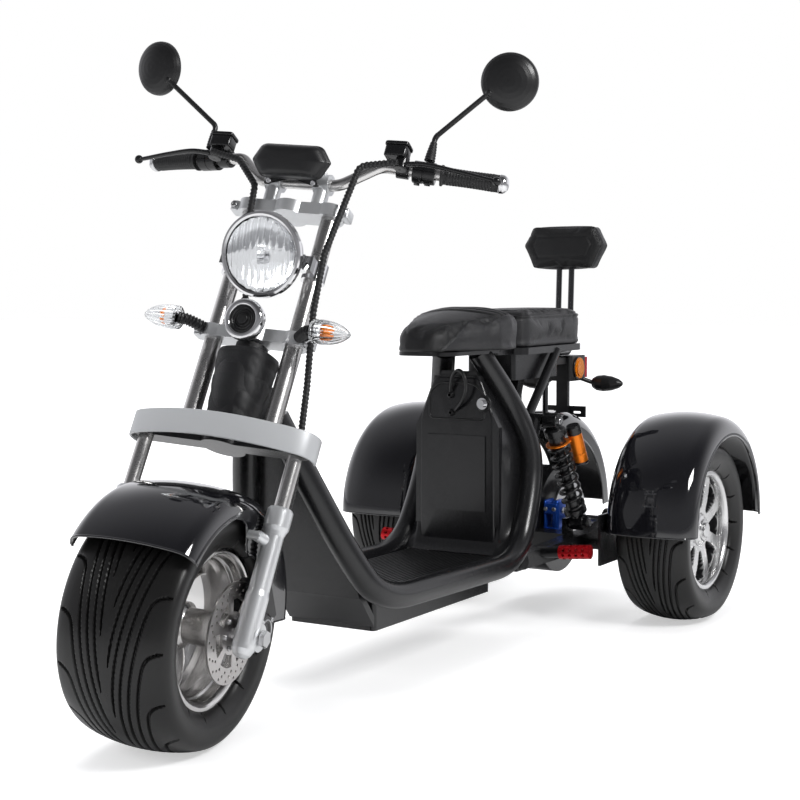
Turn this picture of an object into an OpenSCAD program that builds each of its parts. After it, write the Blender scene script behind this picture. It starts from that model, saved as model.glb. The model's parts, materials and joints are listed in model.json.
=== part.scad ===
// Electric tricycle, chopper form, in millimetres.
// X points forward, Y to the rider's left, Z up; the ground is Z = 0.

/* [Overall] */
// distance between the front and rear axles
wheelbase = 1450; // [1300:10:1650]
// distance between the mid planes of the rear wheels
track = 728; // [680:4:820]
// lean of the steering axis from upright, degrees
rake = 27; // [22:0.5:32]
// angle to the left at which the front end is parked, degrees
park_turn = 11; // [0:1:20]

/* [Wheels] */
// outer radius of the tyres
tyre_r = 217; // [205:1:225]
// width of the front tyre
front_tyre_w = 218; // [205:1:227]
// width of each rear tyre
rear_tyre_w = 180; // [160:1:195]
// radius at which the tyre sits on the rim
bead_r = 129; // [122:1:134]
// radius of the rim lips
lip_r = 140; // [136:1:146]
// wall of the rim barrel
rim_wall = 7; // [5:1:10]
// width of the front rim over its lips
front_rim_w = 166; // [150:1:180]
// width of a rear rim over its lips
rear_rim_w = 136; // [120:1:150]
// spokes of the front rim
front_spokes = 6; // [5:1:9]
// spokes of a rear rim
rear_spokes = 8; // [6:1:10]
// radius of the front brake disc
disc_r = 88; // [80:1:95]
// thickness of the brake discs
disc_t = 4; // [3:0.5:5]
// radius of the axles
axle_r = 9; // [8:0.5:12]

/* [Fork] */
// distance of a lower leg from the mid plane
leg_y = 150; // [148:1:165]
// distance of the lower legs ahead of the steering axis
leg_n = 14; // [8:1:20]
// diameter of a lower leg
leg_d = 37; // [34:1:40]
// diameter of the collar on top of a lower leg
collar_d = 46; // [42:1:47]
// diameter of a chrome stanchion above the collar
stanchion_d = 27; // [24:1:32]
// distance of an upper tube from the mid plane
tube_y = 82; // [78:1:90]
// diameter of an upper tube
tube_d = 33; // [30:1:36]
// room from the tread up to the front mudguard's outside
fender_gap = 26; // [22:1:32]
// room from the tread up to the lower yoke
yoke_gap = 105; // [98:1:118]
// chrome that shows between a collar and the lower yoke
chrome_len = 99; // [90:1:110]
// distance from the lower to the middle yoke
head_len = 206; // [190:1:220]
// thickness of the yokes
yoke_t = 24; // [20:1:30]
// height of the bumper band
band_h = 46; // [36:1:56]
// radius of the headlight
lamp_r = 80; // [70:1:84]
// height of the headlight over the middle yoke
lamp_up = 151; // [146:1:158]
// room from the middle of the headlight up to the top yoke
lamp_room = 111; // [105:1:125]

/* [Handlebar] */
// height of the clamped middle of the bar above the top yoke
riser_h = 74; // [60:1:90]
// diameter of the bar
bar_d = 22; // [20:1:26]
// diameter of a grip
grip_d = 34; // [30:1:38]
// distance of a grip's outer end from the mid plane
grip_end_y = 366; // [350:1:380]
// distance of a mirror's centre from the mid plane
mirror_y = 373; // [360:1:390]
// height of a mirror's centre over the top yoke
mirror_up = 302; // [270:1:320]
// radius of a mirror
mirror_r = 54; // [48:1:58]

/* [Frame] */
// diameter of the frame tubes
frame_d = 52; // [48:1:56]
// distance of a deck tube from the mid plane
deck_y = 152; // [148:1:160]
// height of the deck tubes
deck_z = 194; // [188:1:204]
// distance of the deck tubes' front bends behind the front axle
bend_back = 432; // [420:2:450]
// half width of the battery box under the deck
box_y = 101; // [92:1:108]
// underside of the battery box
box_z = 119; // [112:1:128]
// rear end of the battery box, from the rear axle
box_x = 480; // [470:5:500]
// room between the battery box and the front bends of the deck tubes
box_gap = 58; // [50:1:90]
// height of the seat pans
pan_z = 652; // [640:1:662]

/* [Seats] */
// front end of the front seat, from the rear axle
seat_nose_x = 642; // [630:1:655]
// half width of the front seat
seat_y = 126; // [115:1:135]
// height of the front seat's rear edge over its pan
seat_h = 96; // [80:1:105]
// front end of the rear seat, from the rear axle
pillion_x = 300; // [290:1:306]
// length of the rear seat
pillion_len = 392; // [370:1:396]
// half width of the rear seat
pillion_y = 92; // [85:1:98]
// thickness of the rear seat
pillion_h = 88; // [75:1:95]
// width of the backrest pad
pad_w = 226; // [210:1:240]
// height of the backrest pad
pad_h = 108; // [100:1:120]
// underside of the backrest pad
pad_z = 838; // [825:1:850]

/* [Rear end] */
// room from the tread up to the outside of the rear mudguards
guard_gap = 51; // [47:1:60]
// half width of a rear mudguard
guard_y = 109; // [104:1:112]
// distance of the rear mudguards' centre behind the axle
guard_back = 30; // [0:1:40]
// half width of the middle mudguard
mid_guard_y = 70; // [62:1:80]
// radius of the motor drum
motor_r = 132; // [120:1:140]
// radius of the rear brake disc
rear_disc_r = 96; // [90:1:100]
// wire of a shock spring
spring_wire = 8; // [7:0.5:9]
// coils of a shock spring
spring_coils = 7; // [6:1:8]
// outer diameter of a shock spring
spring_d = 54; // [50:1:58]

/* [Hidden] */
$fn = 48;
eps = 0.01;
// room around moving pieces
run_gap = 6;
// room between a shaft and its bore
bore_gap = 0.5;
// room between fixed round pieces, over the diameter
fit_gap = 0.8;
// wall of pressed sheet
sheet = 3;
// swell of a bend over its straight tube, and the lap of the tube into it
bend_swell = 0.6;
bend_lap = 2;
// height of a tyre over the rim lips
side_h = tyre_r - lip_r;
// crown of the tread, as a radius across the tyre
crown = pow(215, 2) / (2 * side_h);
// lean of the parked front wheel
camber = asin(sin(park_turn) * sin(rake));
guard_r = tyre_r + guard_gap;
front_z = tyre_r + crown * (1 - cos(camber)) - tyre_r * (1 - cos(camber));
rear_z = tyre_r;
// farthest points from the rear axle, and the middle between them
front_reach = wheelbase + tyre_r * sqrt(1 - pow(sin(park_turn) * cos(rake), 2)) + 4.6;
rear_reach = guard_r + guard_back;
x0 = -(front_reach - rear_reach) / 2;
half_track = track / 2;
hub_r = 40;
boss_r = 24;
stem_r = 14;
front_disc_y = front_tyre_w / 2 + 8;
fender_y = front_tyre_w / 2 + run_gap + sheet;
fender_r = tyre_r + fender_gap;
// heights along the steering axis, from the front axle
low_yoke_s = tyre_r + yoke_gap;
mid_yoke_s = low_yoke_s + head_len;
lamp_s = mid_yoke_s + lamp_up;
top_yoke_s = lamp_s + lamp_room;
collar_s = low_yoke_s - chrome_len;
mirror_s = top_yoke_s + mirror_up;
bar_s = top_yoke_s + riser_h;
// where the deck tubes bend up to the neck, and the battery box behind that
bend_x = wheelbase - bend_back;
box_len = bend_x - box_gap - box_x;
box_end = box_x + box_len;

// Vector helpers
function unit(v) = v / norm(v);
function lerp(a, b, t) = a + (b - a) * t;
function flip(p, s) = [p[0], s * p[1], p[2]];
// a point by the steering axis: ahead of it, left, and up along it from the front axle
function head_pt(n, y, s) =
  [wheelbase + n * cos(rake) - s * sin(rake), y, front_z + n * sin(rake) + s * cos(rake)];
// points on a dome from its rim, at height z and radius r, to its top h above the rim
function dome(r, z, h, n) = [for (i = [0 : n]) [r * cos(90 * i / n), z + h * sin(90 * i / n)]];
// points on an arc about c, from angle a to b in n steps
function arc(c, r, a, b, n) =
  [for (i = [0 : n]) let (t = a + (b - a) * i / n) c + r * [cos(t), sin(t)]];

// A round bar from point a to point b
module rod(a, b, d) {
  v = b - a;
  translate(a)
    rotate([0, acos(v[2] / norm(v)), atan2(v[1], v[0])])
      cylinder(h = norm(v), d = d);
}

// Turns the Z axis of a piece to the direction v
module toward(v) {
  rotate([0, acos(v[2] / norm(v)), atan2(v[1], v[0])])
    children();
}

// One bend: an arc of tube that joins the legs from a to p and from p to b
module bend(a, p, b, d, r) {
  u = unit(p - a);
  w = unit(b - p);
  turn = acos(min(1, max(-1, u * w)));
  k = unit(cross(u, w));
  t = r * tan(turn / 2);
  m = unit(w - u * (u * w));
  c = p - u * t + m * r;
  // columns of the placing frame: outward, along, axis
  ex = -m;
  ey = u;
  ez = k;
  flat = sqrt(ey[2] * ey[2] + ez[2] * ez[2]);
  up = flat < 0.000001;
  rb = atan2(-ex[2], up ? 0 : flat);
  ra = up ? atan2(ex[2] < 0 ? ey[0] : -ey[0], ey[1]) : atan2(ey[2], ez[2]);
  rc = up ? 0 : atan2(ex[1], ex[0]);
  translate(c)
    rotate([ra, rb, rc])
      rotate_extrude(angle = turn)
        translate([r, 0])
          circle(d = d + bend_swell);
}

function trim(a, p, b, r) =
  let (u = unit(p - a), w = unit(b - p)) r * tan(acos(min(1, max(-1, u * w))) / 2);

// A bent tube through points, with one bend radius
module bent_tube(pts, d, r) {
  n = len(pts);
  for (i = [0 : n - 2]) {
    v = unit(pts[i + 1] - pts[i]);
    a = i == 0 ? pts[0] : pts[i] + v * trim(pts[i - 1], pts[i], pts[i + 1], r);
    b = i == n - 2 ? pts[n - 1] : pts[i + 1] - v * trim(pts[i], pts[i + 1], pts[i + 2], r);
    rod(a - v * (i == 0 ? 0 : bend_lap), b + v * (i == n - 2 ? 0 : bend_lap), d);
  }
  for (i = [1 : n - 2])
    bend(pts[i - 1], pts[i], pts[i + 1], d, r);
}

// A box with round vertical edges, from low corner a to high corner b
module round_box(a, b, r) {
  s = b - a;
  translate(a) {
    translate([r, 0, 0]) cube([s[0] - 2 * r, s[1], s[2]]);
    translate([0, r, 0]) cube([s[0], s[1] - 2 * r, s[2]]);
    for (x = [r, s[0] - r])
      for (y = [r, s[1] - r])
        translate([x, y, 0]) cylinder(h = s[2], r = r);
  }
}

// Places: x is measured from the rear axle
module on_frame() {
  translate([x0, 0, 0]) children();
}

// Fork places: x ahead of the steering axis, y left, z up along the axis from the front axle
module on_fork() {
  translate([x0 + wheelbase, 0, front_z])
    rotate([0, -rake, 0])
      rotate([0, 0, park_turn])
        children();
}

// Rear wheel places: x and z from the wheel centre, y outward from its mid plane
module on_rear(side) {
  translate([x0, side * half_track, rear_z])
    mirror([0, side < 0 ? 1 : 0, 0])
      children();
}

// Turns a profile of radius and width about the wheel axis
module wheel_spin() {
  rotate([90, 0, 0]) rotate_extrude() children();
}

// Half profile of a tyre, outward points from the crown to the bead
function tyre_half(w) = [
  [tyre_r, 0],
  [tyre_r - pow(0.14 * w, 2) / (2 * crown), 0.14 * w],
  [tyre_r - pow(0.28 * w, 2) / (2 * crown), 0.28 * w],
  [tyre_r - pow(0.38 * w, 2) / (2 * crown) - 0.026 * side_h, 0.38 * w],
  [tyre_r - 0.195 * side_h, 0.45 * w],
  [tyre_r - 0.325 * side_h, 0.482 * w],
  [tyre_r - 0.468 * side_h, 0.485 * w],
  [tyre_r - 0.65 * side_h, 0.472 * w],
  [lip_r + 0.13 * side_h, 0.44 * w],
  [lip_r + 0.5, 0.395 * w]];

// A tyre that sits on a rim of width rw
module tyre(w, rw) {
  h = tyre_half(w);
  low = [[lip_r + 0.5, rw / 2 - 5.6], [bead_r + 0.4, rw / 2 - 12.6]];
  right = concat(h, low);
  left = [for (i = [len(right) - 1 : -1 : 1]) [right[i][0], -right[i][1]]];
  wheel_spin() polygon(concat(right, left));
}

// A rim barrel with lips
module barrel(rw) {
  h = rw / 2;
  wheel_spin() polygon([
    [bead_r - rim_wall, -h + 8], [lip_r - 7, -h], [lip_r, -h], [lip_r, -h + 4], [lip_r - 1, -h + 5],
    [bead_r, -h + 12], [bead_r, h - 12], [lip_r - 1, h - 5], [lip_r, h - 4], [lip_r, h], [lip_r - 7, h],
    [bead_r - rim_wall, h - 8], [bead_r - rim_wall - 5, 0]]);
}

// The steered front wheel

module front_tyre() {
  color([0.07, 0.07, 0.08])
    on_fork() tyre(front_tyre_w, front_rim_w);
}

module front_rim() {
  hub_w = front_disc_y - disc_t;
  color([0.8, 0.8, 0.82])
    on_fork() difference() {
      union() {
        barrel(front_rim_w);
        translate([0, hub_w, 0]) rotate([90, 0, 0]) cylinder(h = 2 * hub_w - 14, r = hub_r - 8);
        translate([0, 30, 0]) rotate([90, 0, 0]) cylinder(h = 60, r = hub_r);
        for (i = [0 : front_spokes - 1])
          rotate([0, i * 360 / front_spokes, 0])
            translate([-7, -15, hub_r - 8]) cube([14, 30, bead_r - hub_r + 5]);
      }
      translate([0, 200, 0]) rotate([90, 0, 0]) cylinder(h = 400, r = axle_r + bore_gap);
    }
}

// A brake disc with windows between its arms and rows of small holes
module brake_disc(r, arms, holes) {
  difference() {
    cylinder(h = disc_t, r = r);
    translate([0, 0, -5]) cylinder(h = 20, r = axle_r + bore_gap);
    for (i = [0 : arms - 1])
      rotate([0, 0, i * 360 / arms]) rotate_extrude(angle = 250 / arms)
        translate([r * 0.42, -5]) square([r * 0.25, 20]);
    for (i = [0 : holes - 1])
      rotate([0, 0, i * 360 / holes]) translate([r * (0.76 + 0.085 * (i % 3)), 0, -5])
        cylinder(h = 20, r = 2.6, $fn = 16);
  }
}

module front_disc() {
  color([0.62, 0.62, 0.64])
    on_fork() translate([0, front_disc_y, 0]) rotate([90, 0, 0]) brake_disc(disc_r, 6, 54);
}

// The fork and what turns with it

// A yoke plate of half width w, with bosses
module yoke(w, n, s, t, boss, stem) {
  translate([0, 0, s]) {
    cylinder(h = t, r = stem);
    for (k = [-1, 1]) {
      translate([n, k * w, 0]) cylinder(h = t, r = boss);
      translate([n / 2 - boss + 4, k > 0 ? 0 : -w, 0]) cube([2 * boss - 8, w, t]);
    }
  }
}

module fork_yokes() {
  color([0.06, 0.06, 0.065])
    on_fork() {
      difference() {
        yoke(leg_y, leg_n, low_yoke_s, yoke_t + 8, boss_r, 42);
        for (k = [-1, 1])
          translate([leg_n, k * leg_y, low_yoke_s - 1]) cylinder(h = 15, d = stanchion_d + fit_gap);
        for (k = [-1, 1])
          translate([0, k * tube_y, low_yoke_s + 19.6]) cylinder(h = 20, d = tube_d + fit_gap);
      }
      // stem through the head tube
      translate([0, 0, low_yoke_s + 5]) cylinder(h = head_len, r = stem_r);
    }
}

module mid_yoke() {
  color([0.6, 0.6, 0.62])
    on_fork() difference() {
      yoke(tube_y, 0, mid_yoke_s, yoke_t, 25, 34);
      for (k = [-1, 1])
        translate([0, k * tube_y, mid_yoke_s - 1]) cylinder(h = yoke_t + 2, d = tube_d + fit_gap);
      translate([0, 0, mid_yoke_s - 1]) cylinder(h = 6.5, r = stem_r + fit_gap / 2);
    }
}

module top_yoke() {
  color([0.6, 0.6, 0.62])
    on_fork() {
      difference() {
        yoke(tube_y, 0, top_yoke_s, yoke_t, 27, 34);
        for (k = [-1, 1])
          translate([0, k * tube_y, top_yoke_s - 1]) cylinder(h = 13.4, d = tube_d + fit_gap);
      }
      // risers with their clamps round the bar
      difference() {
        for (k = [-1, 1]) {
          translate([0, k * 50, top_yoke_s + yoke_t - 1]) cylinder(h = riser_h - yoke_t, r = 15);
          translate([0, k * 50 + 15, bar_s]) rotate([90, 0, 0]) cylinder(h = 30, r = 20);
        }
        translate([0, 100, bar_s]) rotate([90, 0, 0]) cylinder(h = 200, d = bar_d + fit_gap);
      }
    }
}

module bumper_band() {
  rise = 78;
  half = leg_y + 15;
  r = (half * half + rise * rise) / (2 * rise);
  a = asin(half / r);
  color([0.72, 0.72, 0.74])
    on_fork() difference() {
      translate([leg_n - 6 + rise - r, 0, low_yoke_s - 6]) rotate([0, 0, -a])
        rotate_extrude(angle = 2 * a) translate([r - 5, 0]) square([5, band_h]);
      for (k = [-1, 1])
        translate([leg_n, k * leg_y, low_yoke_s - 20]) cylinder(h = 90, r = boss_r + fit_gap / 2);
    }
}

module fork_tubes() {
  color([0.85, 0.85, 0.87])
    on_fork() for (k = [-1, 1]) {
      translate([0, k * tube_y, low_yoke_s + 20]) cylinder(h = top_yoke_s - low_yoke_s - 8, d = tube_d);
      translate([leg_n, k * leg_y, collar_s]) cylinder(h = low_yoke_s + 13 - collar_s, d = stanchion_d);
    }
}

// Slider of one leg: collar on top, taper, thicker foot
leg_r = leg_d / 2;
slider = [[0, -42], [8, -41], [15, -36], [leg_r + 1, -26], [leg_r + 2, -18], [leg_r + 2, 66], [leg_r, 76],
  [leg_r - 1, collar_s - 50], [leg_r + 1, collar_s - 42], [collar_d / 2, collar_s - 34],
  [collar_d / 2, collar_s - 4], [collar_d / 2 - 3, collar_s], [0, collar_s]];
// bolt that holds the front mudguard to a leg
fender_bolt = [44, fender_y + 0.3, collar_s - 60];

module fork_legs() {
  color([0.55, 0.56, 0.57])
    on_fork() {
      for (k = [-1, 1]) difference() {
        union() {
          translate([leg_n, k * leg_y, 0]) rotate_extrude() polygon(slider);
          translate([0, k * leg_y + 19, 0]) rotate([90, 0, 0]) cylinder(h = 38, r = 24);
          translate([-24, k > 0 ? leg_y - 8 : -leg_y - 8, -12]) cube([30, 16, 46]);
          rod(flip([leg_n, leg_y, collar_s - 64], k), flip([44, fender_y + 16, collar_s - 60], k), 20);
          rod(flip(fender_bolt, k), flip(fender_bolt + [0, 22, 0], k), 16);
        }
        translate([0, 300, 0]) rotate([90, 0, 0]) cylinder(h = 600, d = 2 * axle_r + fit_gap);
      }
    }
}

module front_axle() {
  reach = leg_y + 32;
  color([0.6, 0.6, 0.62])
    on_fork() {
      translate([0, reach, 0]) rotate([90, 0, 0]) cylinder(h = 2 * reach, r = axle_r);
      for (k = [-1, 1])
        translate([0, k > 0 ? reach : -reach + 9, 0]) rotate([90, 0, 0]) cylinder(h = 9, r = 15, $fn = 6);
    }
}

// Half profile of a mudguard: crown radius r, half width h, skirt depth k, edge radius e; crown of radius c
function guard_out(r, h, k, e, c) =
  let (yc = h - e, xc = r - c + sqrt(pow(c - e, 2) - yc * yc), tip = asin(yc / (c - e)))
    concat([[r - k, h]], arc([xc, yc], e, 90, tip, 7), arc([r - c, 0], c, tip * 0.75, 0, 3));

module guard_profile(r, h, k, t) {
  o = guard_out(r, h, k, 36, 440);
  i = guard_out(r - t, h - t, k - t, 36 - t, 440 - t);
  n = len(o);
  polygon(concat(
    o, [for (j = [n - 2 : -1 : 0]) [o[j][0], -o[j][1]]],
    [for (j = [0 : n - 1]) [i[j][0], -i[j][1]]], [for (j = [n - 2 : -1 : 0]) i[j]]));
}

// A mudguard about the wheel axis, from angle a0 to a1 above straight ahead
module mudguard(r, h, k, a0, a1) {
  rotate([90, 0, 0]) rotate([0, 0, a0])
    rotate_extrude(angle = a1 - a0) guard_profile(r, h, k, sheet);
}

// Front mudguard: shallow skirts ahead of the legs, deep ones behind them
fender_a = [18, 158];
fender_skirt = [40, fender_r - disc_r - 47];

module front_fender() {
  low = fender_r - fender_skirt[0];
  edge = [[68, low - 14], [72, low - 23], [74, low - 54], [77, fender_r - 140], [80, 20]];
  color([0.03, 0.03, 0.035])
    on_fork() difference() {
      mudguard(fender_r, fender_y, fender_skirt[1], fender_a[0], fender_a[1]);
      rotate([90, 0, 0]) translate([0, 0, -200]) linear_extrude(400)
        polygon(concat([[0, -60], [low, -60]], arc([0, 0], low, 0, 60, 12),
          [for (p = edge) p[1] * [cos(p[0]), sin(p[0])]]));
    }
}

// The headlight sits level when the front end is straight
module on_lamp() {
  on_fork() translate([64, 0, lamp_s]) rotate([0, rake, 0]) rotate([0, 90, 0]) children();
}

module headlight() {
  color([0.85, 0.85, 0.87]) {
    on_lamp() rotate_extrude() polygon(concat(
      [[0, -4], [lamp_r - 10, -4], [lamp_r - 10, 8], [lamp_r - 6, 10], [lamp_r - 2, 9], [lamp_r, 5],
        [lamp_r, -4], [lamp_r - 1, -8], [lamp_r - 4, -11]],
      dome(lamp_r - 10, -12, -80, 9)));
    on_fork() for (k = [-1, 1]) {
      translate([30, k > 0 ? 58 : -78, lamp_s - 14]) cube([19, 20, 28]);
      translate([0, k * tube_y, lamp_s - 18]) difference() {
        union() {
          cylinder(h = 36, d = tube_d + 12);
          translate([0, -11, 4]) cube([44, 22, 28]);
        }
        translate([0, 0, -1]) cylinder(h = 38, d = tube_d + fit_gap);
      }
    }
  }
}

module headlight_lens() {
  color([0.85, 0.9, 0.95])
    on_lamp() rotate_extrude()
      polygon(concat([[0, -3.2], [lamp_r - 11.2, -3.2]], dome(lamp_r - 11.2, 5, 15, 7)));
}

module horn() {
  color([0.15, 0.15, 0.16])
    on_fork() {
      translate([40, 0, mid_yoke_s + 26]) rotate([0, 90 + rake / 2, 0]) rotate_extrude() polygon([
        [0, 0], [26, 0], [34, 8], [37, 14], [37, 22], [33, 26], [12, 22], [9, 27], [0, 27]]);
      translate([12, -8, mid_yoke_s + yoke_t + 0.3]) cube([32, 16, 10]);
    }
}

// Front signals, one on each end of the middle yoke
sig_root = [20.5, tube_y + 15.5, mid_yoke_s + 14];
sig_elbow = [46, tube_y + 34, mid_yoke_s + 16];

module signal_stalks() {
  color([0.05, 0.05, 0.055])
    on_fork() for (k = [-1, 1]) {
      rod(flip(sig_root, k), flip(sig_elbow, k), 12);
      translate(flip(sig_elbow, k)) sphere(d = 13);
      rod(flip(sig_elbow, k), flip([50, 134, mid_yoke_s + 16], k), 12);
      translate(flip([50, 132, mid_yoke_s + 16], k)) rotate([k * -90, 0, 0])
        rotate_extrude() polygon([[0, 0], [10, 0], [17, 6], [21, 16], [22, 30], [0, 30]]);
    }
}

module signal_lenses() {
  color([0.9, 0.88, 0.85])
    on_fork() for (k = [-1, 1])
      translate(flip([50, 162, mid_yoke_s + 16], k)) rotate([k * -90, 0, 0])
        rotate_extrude() polygon([[0, 0.3], [22, 0.3], [22, 14], [19, 28], [13, 38], [6, 44], [0, 46]]);
}

// Outline of the dash, across and up
dash_half = [[62, -23], [78, -7], [81, -2], [79, 3], [64, 20], [58, 23]];
dash_pts = concat(dash_half, [for (i = [5 : -1 : 0]) [-dash_half[i][0], dash_half[i][1]]]);

module dash() {
  color([0.05, 0.05, 0.055])
    on_fork() {
      translate([52, 0, bar_s + 9]) rotate([0, -38, 0]) {
        translate([-17, 0, 0]) rotate([90, 0, 90]) linear_extrude(34) polygon(dash_pts);
      }
      translate([16, -22, top_yoke_s + yoke_t]) cube([14, 44, 51]);
      translate([16, -22, top_yoke_s + yoke_t + 38]) cube([30, 44, 12]);
    }
}

// Points of the bar on the left side: forward of the axis, left, up
bar_pts = [[0, 0, bar_s], [0, 81, bar_s], [-20, 146, bar_s + 58], [-74, grip_end_y, bar_s + 67]];
bar_dir = unit(bar_pts[3] - bar_pts[2]);
function on_bar(d) = bar_pts[3] - bar_dir * d;

module handlebar() {
  color([0.06, 0.06, 0.065])
    on_fork() {
      for (k = [-1, 1])
        bent_tube([for (p = bar_pts) flip(p, k)], bar_d, 40);
    }
}

module grips() {
  color([0.06, 0.06, 0.065])
    on_fork() for (k = [-1, 1])
      difference() {
        rod(flip(on_bar(112), k), flip(on_bar(-6), k), grip_d);
        rod(flip(on_bar(120), k), flip(on_bar(-0.5), k), bar_d + fit_gap);
      }
}

module controls() {
  color([0.05, 0.05, 0.055])
    on_fork() for (k = [-1, 1]) {
      difference() {
        union() {
          rod(flip(on_bar(165), k), flip(on_bar(122), k), 42);
          // lever perch and fluid tank ahead of the bar
          rod(flip(on_bar(196), k), flip(on_bar(172), k), 34);
          rod(flip(on_bar(184) + [4, 0, 6], k), flip(on_bar(184) + [30, 0, 12], k), 22);
          translate(flip(on_bar(188) + [36, 0, 2], k)) translate([-18, -24, 0]) cube([36, 48, 30]);
          translate(flip(on_bar(176) + [34, 0, -18], k)) cylinder(h = 26, r = 13);
          // brake lever with a ball on its end
          rod(flip(on_bar(176) + [36, 0, -10], k), flip(on_bar(128) + [56, 0, -12], k), 11);
          translate(flip(on_bar(128) + [56, 0, -12], k)) sphere(d = 12);
          rod(flip(on_bar(128) + [56, 0, -12], k), flip(on_bar(-12) + [54, 0, -24], k), 11);
          translate(flip(on_bar(-12) + [54, 0, -24], k)) sphere(d = 18);
        }
        rod(flip(on_bar(240), k), flip(on_bar(100), k), bar_d + 2);
      }
    }
}

mirror_c = [24, mirror_y, mirror_s];
stem_pts = [on_bar(138) + [5.7, 0, 21.1], on_bar(138) + [12, 2, 72], [23, mirror_y - 34, mirror_s - 26]];

module on_mirror(k) {
  on_fork() translate(flip(mirror_c, k)) rotate([0, rake, 0]) rotate([0, 0, k * 13])
    rotate([0, 90, 0]) children();
}

module mirrors() {
  color([0.05, 0.05, 0.055]) for (k = [-1, 1]) {
    on_mirror(k) rotate_extrude() polygon(concat(
      [[0, -10], [mirror_r - 5, -10], [mirror_r - 5, -13], [mirror_r - 1, -13], [mirror_r, -12]],
      dome(mirror_r, -7, 23, 7)));
    on_fork() {
      bent_tube([for (p = stem_pts) flip(p, k)], 10, 14);
      translate(flip(stem_pts[2], k)) sphere(d = 14);
      rod(flip(stem_pts[2], k), flip(mirror_c, k), 12);
    }
  }
}

module mirror_glass() {
  color([0.75, 0.8, 0.85])
    for (k = [-1, 1])
      on_mirror(k) translate([0, 0, -12.5]) cylinder(h = 2.2, r = mirror_r - 6.2);
}

module front_caliper() {
  color([0.08, 0.08, 0.085])
    on_fork() rotate([0, -128, 0]) difference() {
      union() {
        translate([disc_r - 34, front_disc_y - disc_t - 26, -36]) cube([54, 26 + disc_t + 6 + 20, 72]);
        translate([disc_r - 34, front_disc_y + 6, -60]) cube([30, 20, 60]);
      }
      translate([0, 200, 0]) rotate([90, 0, 0]) cylinder(h = 400, r = 50);
      translate([0, front_disc_y + 6, 0]) rotate([90, 0, 0]) cylinder(h = disc_t + 12, r = disc_r + 7);
      rotate([0, 128, 0]) {
        translate([leg_n, leg_y, -80]) cylinder(h = 400, d = leg_d + 4 + 2 * fit_gap);
        translate([0, 300, 0]) rotate([90, 0, 0]) cylinder(h = 400, r = 25);
        translate([-24.4, leg_y - 8.4, -12.4]) cube([31, 17, 47]);
      }
    }
}

hose_pts = [on_bar(176) + [51, 0, -12], on_bar(176) + [60, -70, -30], [44, 112, mid_yoke_s + 170],
  [36, 118, mid_yoke_s + 60], [-20, 118, mid_yoke_s - 60], [-34, 140, low_yoke_s - 40], [-34, 142, 170],
  [-50, 138, 112]];

// the right hose runs in front of the top yoke, then behind the headlight to the middle yoke
right_hose_pts = [flip(hose_pts[0], -1), [28, -125, bar_s + 28], [36, -72, bar_s - 28],
  [36, -64, top_yoke_s - 20], [-16, -52, lamp_s + 42], [-16, -52, mid_yoke_s + 60],
  [-12, -52, mid_yoke_s + yoke_t + 0.3]];

module brake_hoses() {
  color([0.04, 0.04, 0.045])
    on_fork() {
      bent_tube(hose_pts, 8, 22);
      bent_tube(right_hose_pts, 8, 20);
    }
}

// Frame: points of one frame tube, from the neck to the seat
tube_pts = [head_pt(-83, 31, low_yoke_s + 0.466 * head_len), head_pt(-163, 66, low_yoke_s + 22),
  [bend_x + 60, 118, deck_z + 94], [bend_x, deck_y, deck_z],
  [446, deck_y, deck_z - 10], [362, 143, 330], [340, 134, 430], [360, 90, 532], [416, 52, pan_z - 25]];

module frame_side(k, grow = 0) {
  bent_tube([for (p = tube_pts) flip(p, k)], frame_d + grow, 62);
}

module frame_left() {
  color([0.05, 0.05, 0.055]) on_frame() frame_side(1);
}

module frame_right() {
  color([0.05, 0.05, 0.055]) on_frame() frame_side(-1);
}

// Padded cover round the head tube: radius, and height as a share of the way between the yokes
cover = [[0, 0.233], [33, 0.233], [39, 0.282], [45, 0.379], [50, 0.495], [52, 0.612], [51, 0.709],
  [47, 0.777], [40, 0.82], [31, 0.84], [0, 0.845]];

module neck() {
  color([0.05, 0.05, 0.055]) difference() {
    translate([x0 + wheelbase, 0, front_z]) rotate([0, -rake, 0]) difference() {
      union() {
        translate([0, 0, low_yoke_s + yoke_t + 8 + run_gap])
          cylinder(h = mid_yoke_s - low_yoke_s - yoke_t - 8 - 2 * run_gap, r = 30);
        translate([0, 0, low_yoke_s]) rotate_extrude() polygon([for (p = cover) [p[0], p[1] * head_len]]);
        translate([-96, -24, low_yoke_s + 0.272 * head_len]) cube([96, 48, 0.437 * head_len]);
      }
      cylinder(h = 900, r = stem_r + bore_gap);
    }
    on_frame() for (k = [-1, 1]) frame_side(k, fit_gap);
  }
}

// The plate between the down tubes, and its foot that runs in to the battery box
shield_top = [tube_pts[1][0] + 10, 0, tube_pts[1][2] + 50];
shield_foot = [bend_x + 12, 0, deck_z + 2];
shield_len = norm(shield_top - shield_foot);
// half width of the plate at shares of its length
shield_half = [[36, 0], [70, 0.394], [112, 0.909], [112, 1]];

module front_shield() {
  lean = atan2(shield_top[0] - shield_foot[0], shield_top[2] - shield_foot[2]);
  color([0.06, 0.06, 0.065])
    on_frame() difference() {
      union() {
        translate(shield_top) rotate([lean - 90, 0, 90]) linear_extrude(6)
          polygon(concat([for (p = shield_half) [p[0], p[1] * shield_len]],
            [for (i = [3 : -1 : 0]) [-shield_half[i][0], shield_half[i][1] * shield_len]]));
        translate([0, box_y, 0]) rotate([90, 0, 0]) linear_extrude(2 * box_y)
          polygon([[bend_x + 2, deck_z + 11], [box_end + 0.4, box_z + 9], [box_end + 0.4, box_z + 31],
            [bend_x - 10, deck_z + 18]]);
      }
      for (k = [-1, 1]) frame_side(k, fit_gap);
    }
}

deck_half = deck_y - frame_d / 2 - 0.8;
rib_count = 11;
pivot_x = 386;
pivot_z = 172;

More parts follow.
